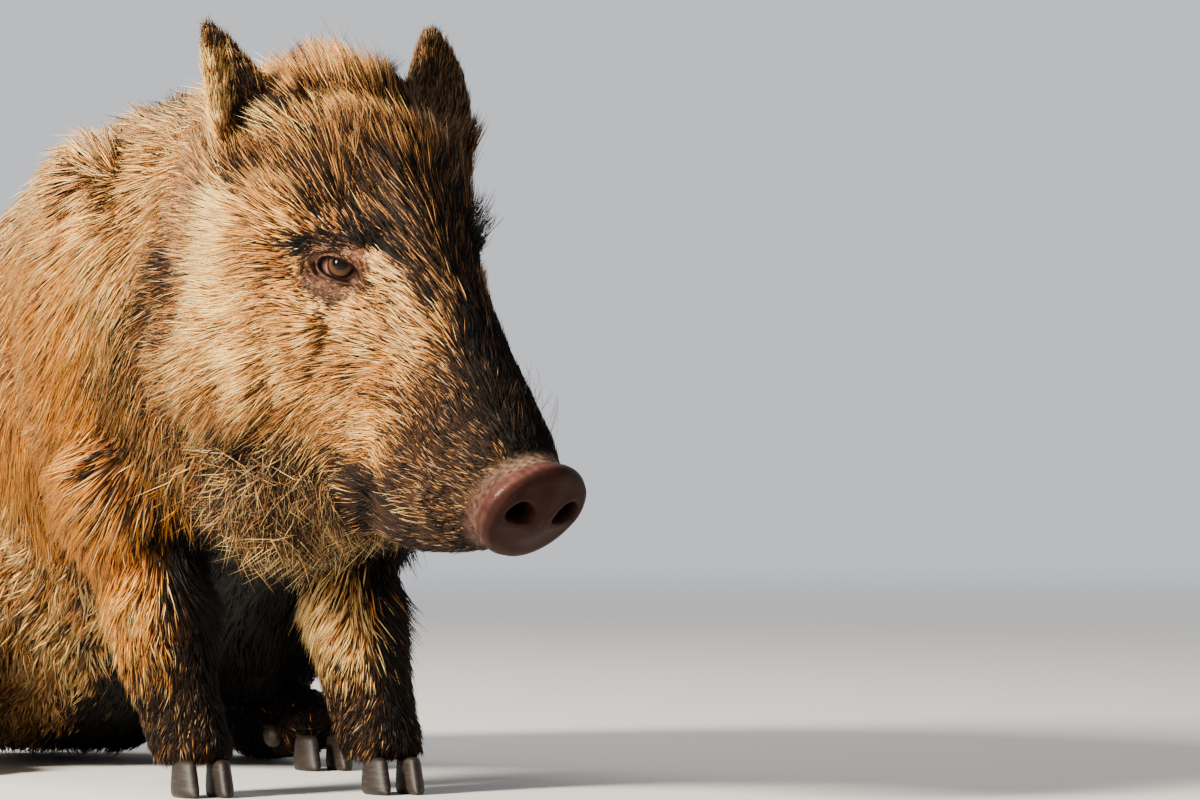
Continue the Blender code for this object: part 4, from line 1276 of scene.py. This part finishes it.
def grow(name, coat, triangles, rng, rings, material):
    """One coat piece: closed, tapered, three-sided bristles joined in one mesh."""
    pick, share = spread_roots(coat, triangles, rng)
    corner = triangles[pick]

    def at_root(field):
        return np.einsum("nk,nk...->n...", share, field[corner])

    root, normal = at_root(coat.points), unit(at_root(coat.normals))
    steps = np.array([0.42, 1.0]) if rings == 1 else np.linspace(0, 1, rings + 2)[1:]
    spots, width, clump = bristle_paths(coat, at_root, root, normal, steps, rng)
    colours = bristle_colours(coat, root, spots[-1], clump, steps, rng)
    n, size = len(root), 2 + 3 * rings
    vertices, painted = np.empty((n, size, 3)), np.empty((n, size, 3))
    bake = np.zeros((n, size, 2))
    for index, v in ((0, -PATCH), (-1, PATCH)):
        vertices[:, index], painted[:, index], bake[:, index] = spots[index], colours[index], (0, v)
    for k in range(rings):
        heading = unit(spots[k + 2] - spots[k])
        right = unit(np.cross(heading, normal))
        out = np.cross(right, heading)
        half = (width * (0.5 if k == 0 else 0.38))[:, None]
        for j, (sideways, upwards) in enumerate(((-1, -0.25), (0, 0.75), (1, -0.25))):
            index = 1 + 3 * k + j
            vertices[:, index] = spots[k + 1] + right * half * sideways + out * half * upwards
            painted[:, index] = colours[k + 1]
            bake[:, index] = (sideways * PATCH, PATCH * (2 * steps[k] - 1))
    vertices[:, :, 2] = np.maximum(vertices[:, :, 2], FLOOR_GAP)
    faces = (np.arange(n)[:, None, None] * size + bristle_faces(rings)).reshape(-1, 3)
    mesh = triangle_mesh(name, vertices.reshape(-1, 3), faces)
    corners = unwrap(coat.points, triangles)[pick]
    at_uv = np.einsum("nk,nkc->nc", share, corners)
    uv = (at_uv[:, None] + bake).reshape(-1, 2)[faces.ravel()]
    mesh.uv_layers.new(name="OFBake").data.foreach_set("uv", uv.astype(np.float32).ravel())
    paint(mesh, "marking_and_shade", painted.reshape(-1, 3))
    mesh.materials.append(material)
    mesh.shade_smooth()
    return new_object(name, mesh)


WHISKERS = [    # path on the head, reach, length, width, lift, number per square metre, kind
    (BROW, 0.010, 14, 0.55, 17, 320e3, "black"),
    ([(0.285, 0.018, 0.004), (0.318, 0.020, -0.006)], 0.016, 27, 0.40, 50, 16e3, "brown"),
    ([(0.262, 0.045, -0.092), (0.310, 0.040, -0.088)], 0.010, 20, 0.32, 34, 14e3, "pale"),
    ([(0.205, 0.062, -0.045)], 0.020, 32, 0.45, 40, 10e3, "dark")]


def whiskers(coat):
    """A thin second coat: brows that stand out, lashes, and the whiskers of the muzzle."""
    long = copy(coat)
    n = len(coat.points)
    long.density, long.beard, long.reading = np.zeros(n), np.zeros(n), 0.0
    long.length, long.width, long.lift = (np.full(n, value) for value in (0.02, 0.0005, 0.8))
    long.shares, long.lie = coat.shares.copy(), coat.lie.copy()

    def put(here, length, width, lift, density, kind):
        long.length[here], long.width[here] = length * MM, width * MM
        long.lift[here], long.density[here] = math.radians(lift), density
        long.shares[here] = np.array(KINDS) == kind

    for path, reach, *rest in WHISKERS:
        put(coat.near(path, reach) > 0.2, *rest)
    far = coat.near([(0.148, 0.046, 0.068), (0.162, 0.040, 0.066)], 0.013) * (coat.head[:, 1] > 0)
    put(far > 0.2, 28, 0.55, 58, 230e3, "dark")
    for side in SIDES.values():
        centre, _, along, up = eye_frame(side)
        away = coat.points - centre
        lashes = (coat.lid > 0.2 * MM) & (coat.lid < 2.6 * MM) & (away @ up > 1.5 * MM)
        lashes &= np.linalg.norm(away, axis=1) < 0.03
        put(lashes, 7, 0.36, 42, 900e3, "dark")
        outward = away @ along
        way = up - 0.9 * along + 0.5 * np.outer(outward / np.abs(outward).max(), along)
        long.lie = np.where(lashes[:, None], unit(way), long.lie)
    return long


def finish_skin(obj, coat, material):
    mesh = obj.data
    # the hide's markings, with the painted shade and light among them
    paint(mesh, "marking_and_shade", skin_colour(coat))
    wet = ramp(coat.disc, 0.3, 0.9) * (1 - 0.6 * ramp(disc_level(coat.head), -4 * MM, 1 * MM))
    wet = np.maximum(wet, (coat.lid < 3 * MM).astype(float))
    wet = np.maximum(wet, 0.4 * ramp(disc_level(coat.head), -35 * MM, -21 * MM))
    mesh.attributes.new("wet", "FLOAT", "POINT").data.foreach_set("value", wet.astype(np.float32))
    mesh.materials.clear()
    mesh.materials.append(material)
    mesh.shade_smooth()


def eyeball(name, side, material):
    """A sphere with a slight bulge of cornea, its own Z along the gaze."""
    centre, aim, along, up = eye_frame(side)
    gaze = unit(aim + 0.22 * up - 0.02 * along)
    right = unit(np.cross(up, gaze))
    bm = bmesh.new()
    bmesh.ops.create_uvsphere(bm, u_segments=64, v_segments=48, radius=EYE_RADIUS)
    for vertex in bm.verts:
        off = math.hypot(vertex.co.x, vertex.co.y)
        if vertex.co.z > 0:
            vertex.co.z += 1.0 * MM * math.exp(-(off / (7.0 * MM)) ** 4)
    mesh = bpy.data.meshes.new(name)
    bm.to_mesh(mesh)
    bm.free()
    mesh.materials.append(material)
    mesh.shade_smooth()
    obj = new_object(name, mesh)
    axes = np.stack([right, np.cross(gaze, right), gaze], 1)
    obj.matrix_world = Matrix.Translation(centre.tolist()) @ Matrix(axes.tolist()).to_4x4()
    return obj


coat = Coat(skin.data)
PLACES = search_tree(coat.points)
finish_skin(skin, coat, skin_material())
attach(skin, "root")
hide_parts(*FLESH)

bristles = coat_material()
triangles = triangles_of(skin.data)
region = coat_regions(coat, triangles)
for index, name in enumerate(sorted(set(region.tolist()))):
    rng = np.random.default_rng(100 + index)
    piece = grow("coat_" + name, coat, triangles[region == name], rng, 1, bristles)
    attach(piece, "root")

second = whiskers(coat)
whiskered = (second.density[triangles] > 0).any(1)
piece = grow("coat_whiskers", second, triangles[whiskered], np.random.default_rng(200), 3,
             bristles)
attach(piece, "root")

eye_look = eye_material()
for name, side in SIDES.items():
    ball = eyeball("eyeball_" + name, side, eye_look)
    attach(ball, "root")
    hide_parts("eye_" + name)


def rounded_horn(node_name, material):
    """The horn of a CAD node with its edges worn round."""
    bm = welded(node_name)
    mesh = bpy.data.meshes.new("horn_" + node_name)
    bm.to_mesh(mesh)
    bm.free()
    obj = new_object("horn_" + node_name, mesh)
    applied(obj, "REMESH", mode="VOXEL", voxel_size=1.9 * MM, adaptivity=0)
    points, edges = points_of(obj.data), edges_of(obj.data)
    points = diffuse(points, edges, 9)
    points[:, 2] = np.maximum(points[:, 2] - 0.5 * MM, 0)
    set_points(obj.data, points)
    obj.data.materials.append(material)
    obj.data.shade_smooth()
    return obj


horn = horn_material()
for name in sorted(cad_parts):
    if name.startswith(("hoof", "dewclaw")):
        hoof = rounded_horn(name, horn)
        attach(hoof, "root")
        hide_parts(name)


# ---- Studio --------------------------------------------------------------------------
SKY = (0.92, 0.95, 1.0, 1)
WORLD_GLOW = 0.37
BACKDROP_GLOW = 0.80


def studio():
    mesh = bpy.data.meshes.new("studio_floor")
    mesh.from_pydata([(-14, -14, 0), (14, -14, 0), (14, 14, 0), (-14, 14, 0)], [], [(0, 1, 2, 3)])
    floor = new_object("studio_floor", mesh)
    material, shader = new_material("pale_floor", 0.8, Specular_IOR_Level=0.2)
    shader.inputs["Base Color"].default_value = (0.62, 0.61, 0.59, 1)
    # far off, the floor takes the backdrop's own glow, so no horizon shows
    reach = node(material, "VectorMath", object_place(material), operation="LENGTH", out="Value")
    fade = node(material, "MapRange", reach, From_Min=1.5, From_Max=9.0,
                interpolation_type="SMOOTHSTEP")
    glow = node(material, "Emission", Color=SKY, Strength=BACKDROP_GLOW)
    wire(material, material.node_tree.nodes["Material Output"],
         Surface=node(material, "MixShader", fade, shader.outputs["BSDF"], glow))
    mesh.materials.append(material)
    backdrop()
    for name, energy, size, place, colour in (
            ("key", 980, 0.9, (-3.6, -1.5, 2.1), (1.0, 0.91, 0.76)),
            ("fill", 30, 3.0, (1.0, -4.2, 1.8), (1.0, 0.97, 0.94)),
            ("rim", 120, 1.6, (-1.2, 3.0, 2.6), (1.0, 0.96, 0.90))):
        light = bpy.data.lights.new(name, "AREA")
        light.energy, light.size, light.color = energy, size, colour
        lamp = new_object(name, light)
        lamp.location = place
        aim = Vector((0, -0.25, 0.28)) - lamp.location
        lamp.rotation_euler = aim.to_track_quat("-Z", "Y").to_euler()
    world = bpy.data.worlds.new("studio")
    world.use_nodes = True
    world.node_tree.nodes["Background"].inputs["Color"].default_value = SKY
    world.node_tree.nodes["Background"].inputs["Strength"].default_value = WORLD_GLOW
    bpy.context.scene.world = world


def backdrop():
    """A low ring round the studio, plain and pale, that fades into the world above it."""
    count, radius = 96, 12.0
    turns = [k * 2 * math.pi / count for k in range(count)]
    points = [(radius * math.cos(a), radius * math.sin(a), z) for z in (-0.2, 4.0) for a in turns]
    faces = [(k, (k + 1) % count, count + (k + 1) % count, count + k) for k in range(count)]
    mesh = bpy.data.meshes.new("studio_backdrop")
    mesh.from_pydata(points, [], faces)
    ring = new_object("studio_backdrop", mesh)
    material = bpy.data.materials.new("backdrop")
    material.use_nodes = True
    height = node(material, "SeparateXYZ", object_place(material), out="Z")
    fade = node(material, "MapRange", height, From_Min=1.8, From_Max=4.0, To_Min=BACKDROP_GLOW,
                To_Max=WORLD_GLOW, interpolation_type="SMOOTHSTEP")
    wire(material, material.node_tree.nodes["Material Output"],
         Surface=node(material, "Emission", Color=SKY, Strength=fade))
    mesh.materials.append(material)


def camera():
    """At the photograph's viewing angle: low, from in front and a little to the right."""
    data = bpy.data.cameras.new("camera")
    data.sensor_width = 36
    data.lens = 213
    data.shift_y = 0.0208
    obj = new_object("camera", data)
    obj.location = (OCCIPUT[0] - 1.3498, OCCIPUT[1] - 4.9326, 0.2680)
    obj.rotation_euler = (math.radians(90), 0, -math.radians(18))
    bpy.context.scene.camera = obj


studio()
camera()
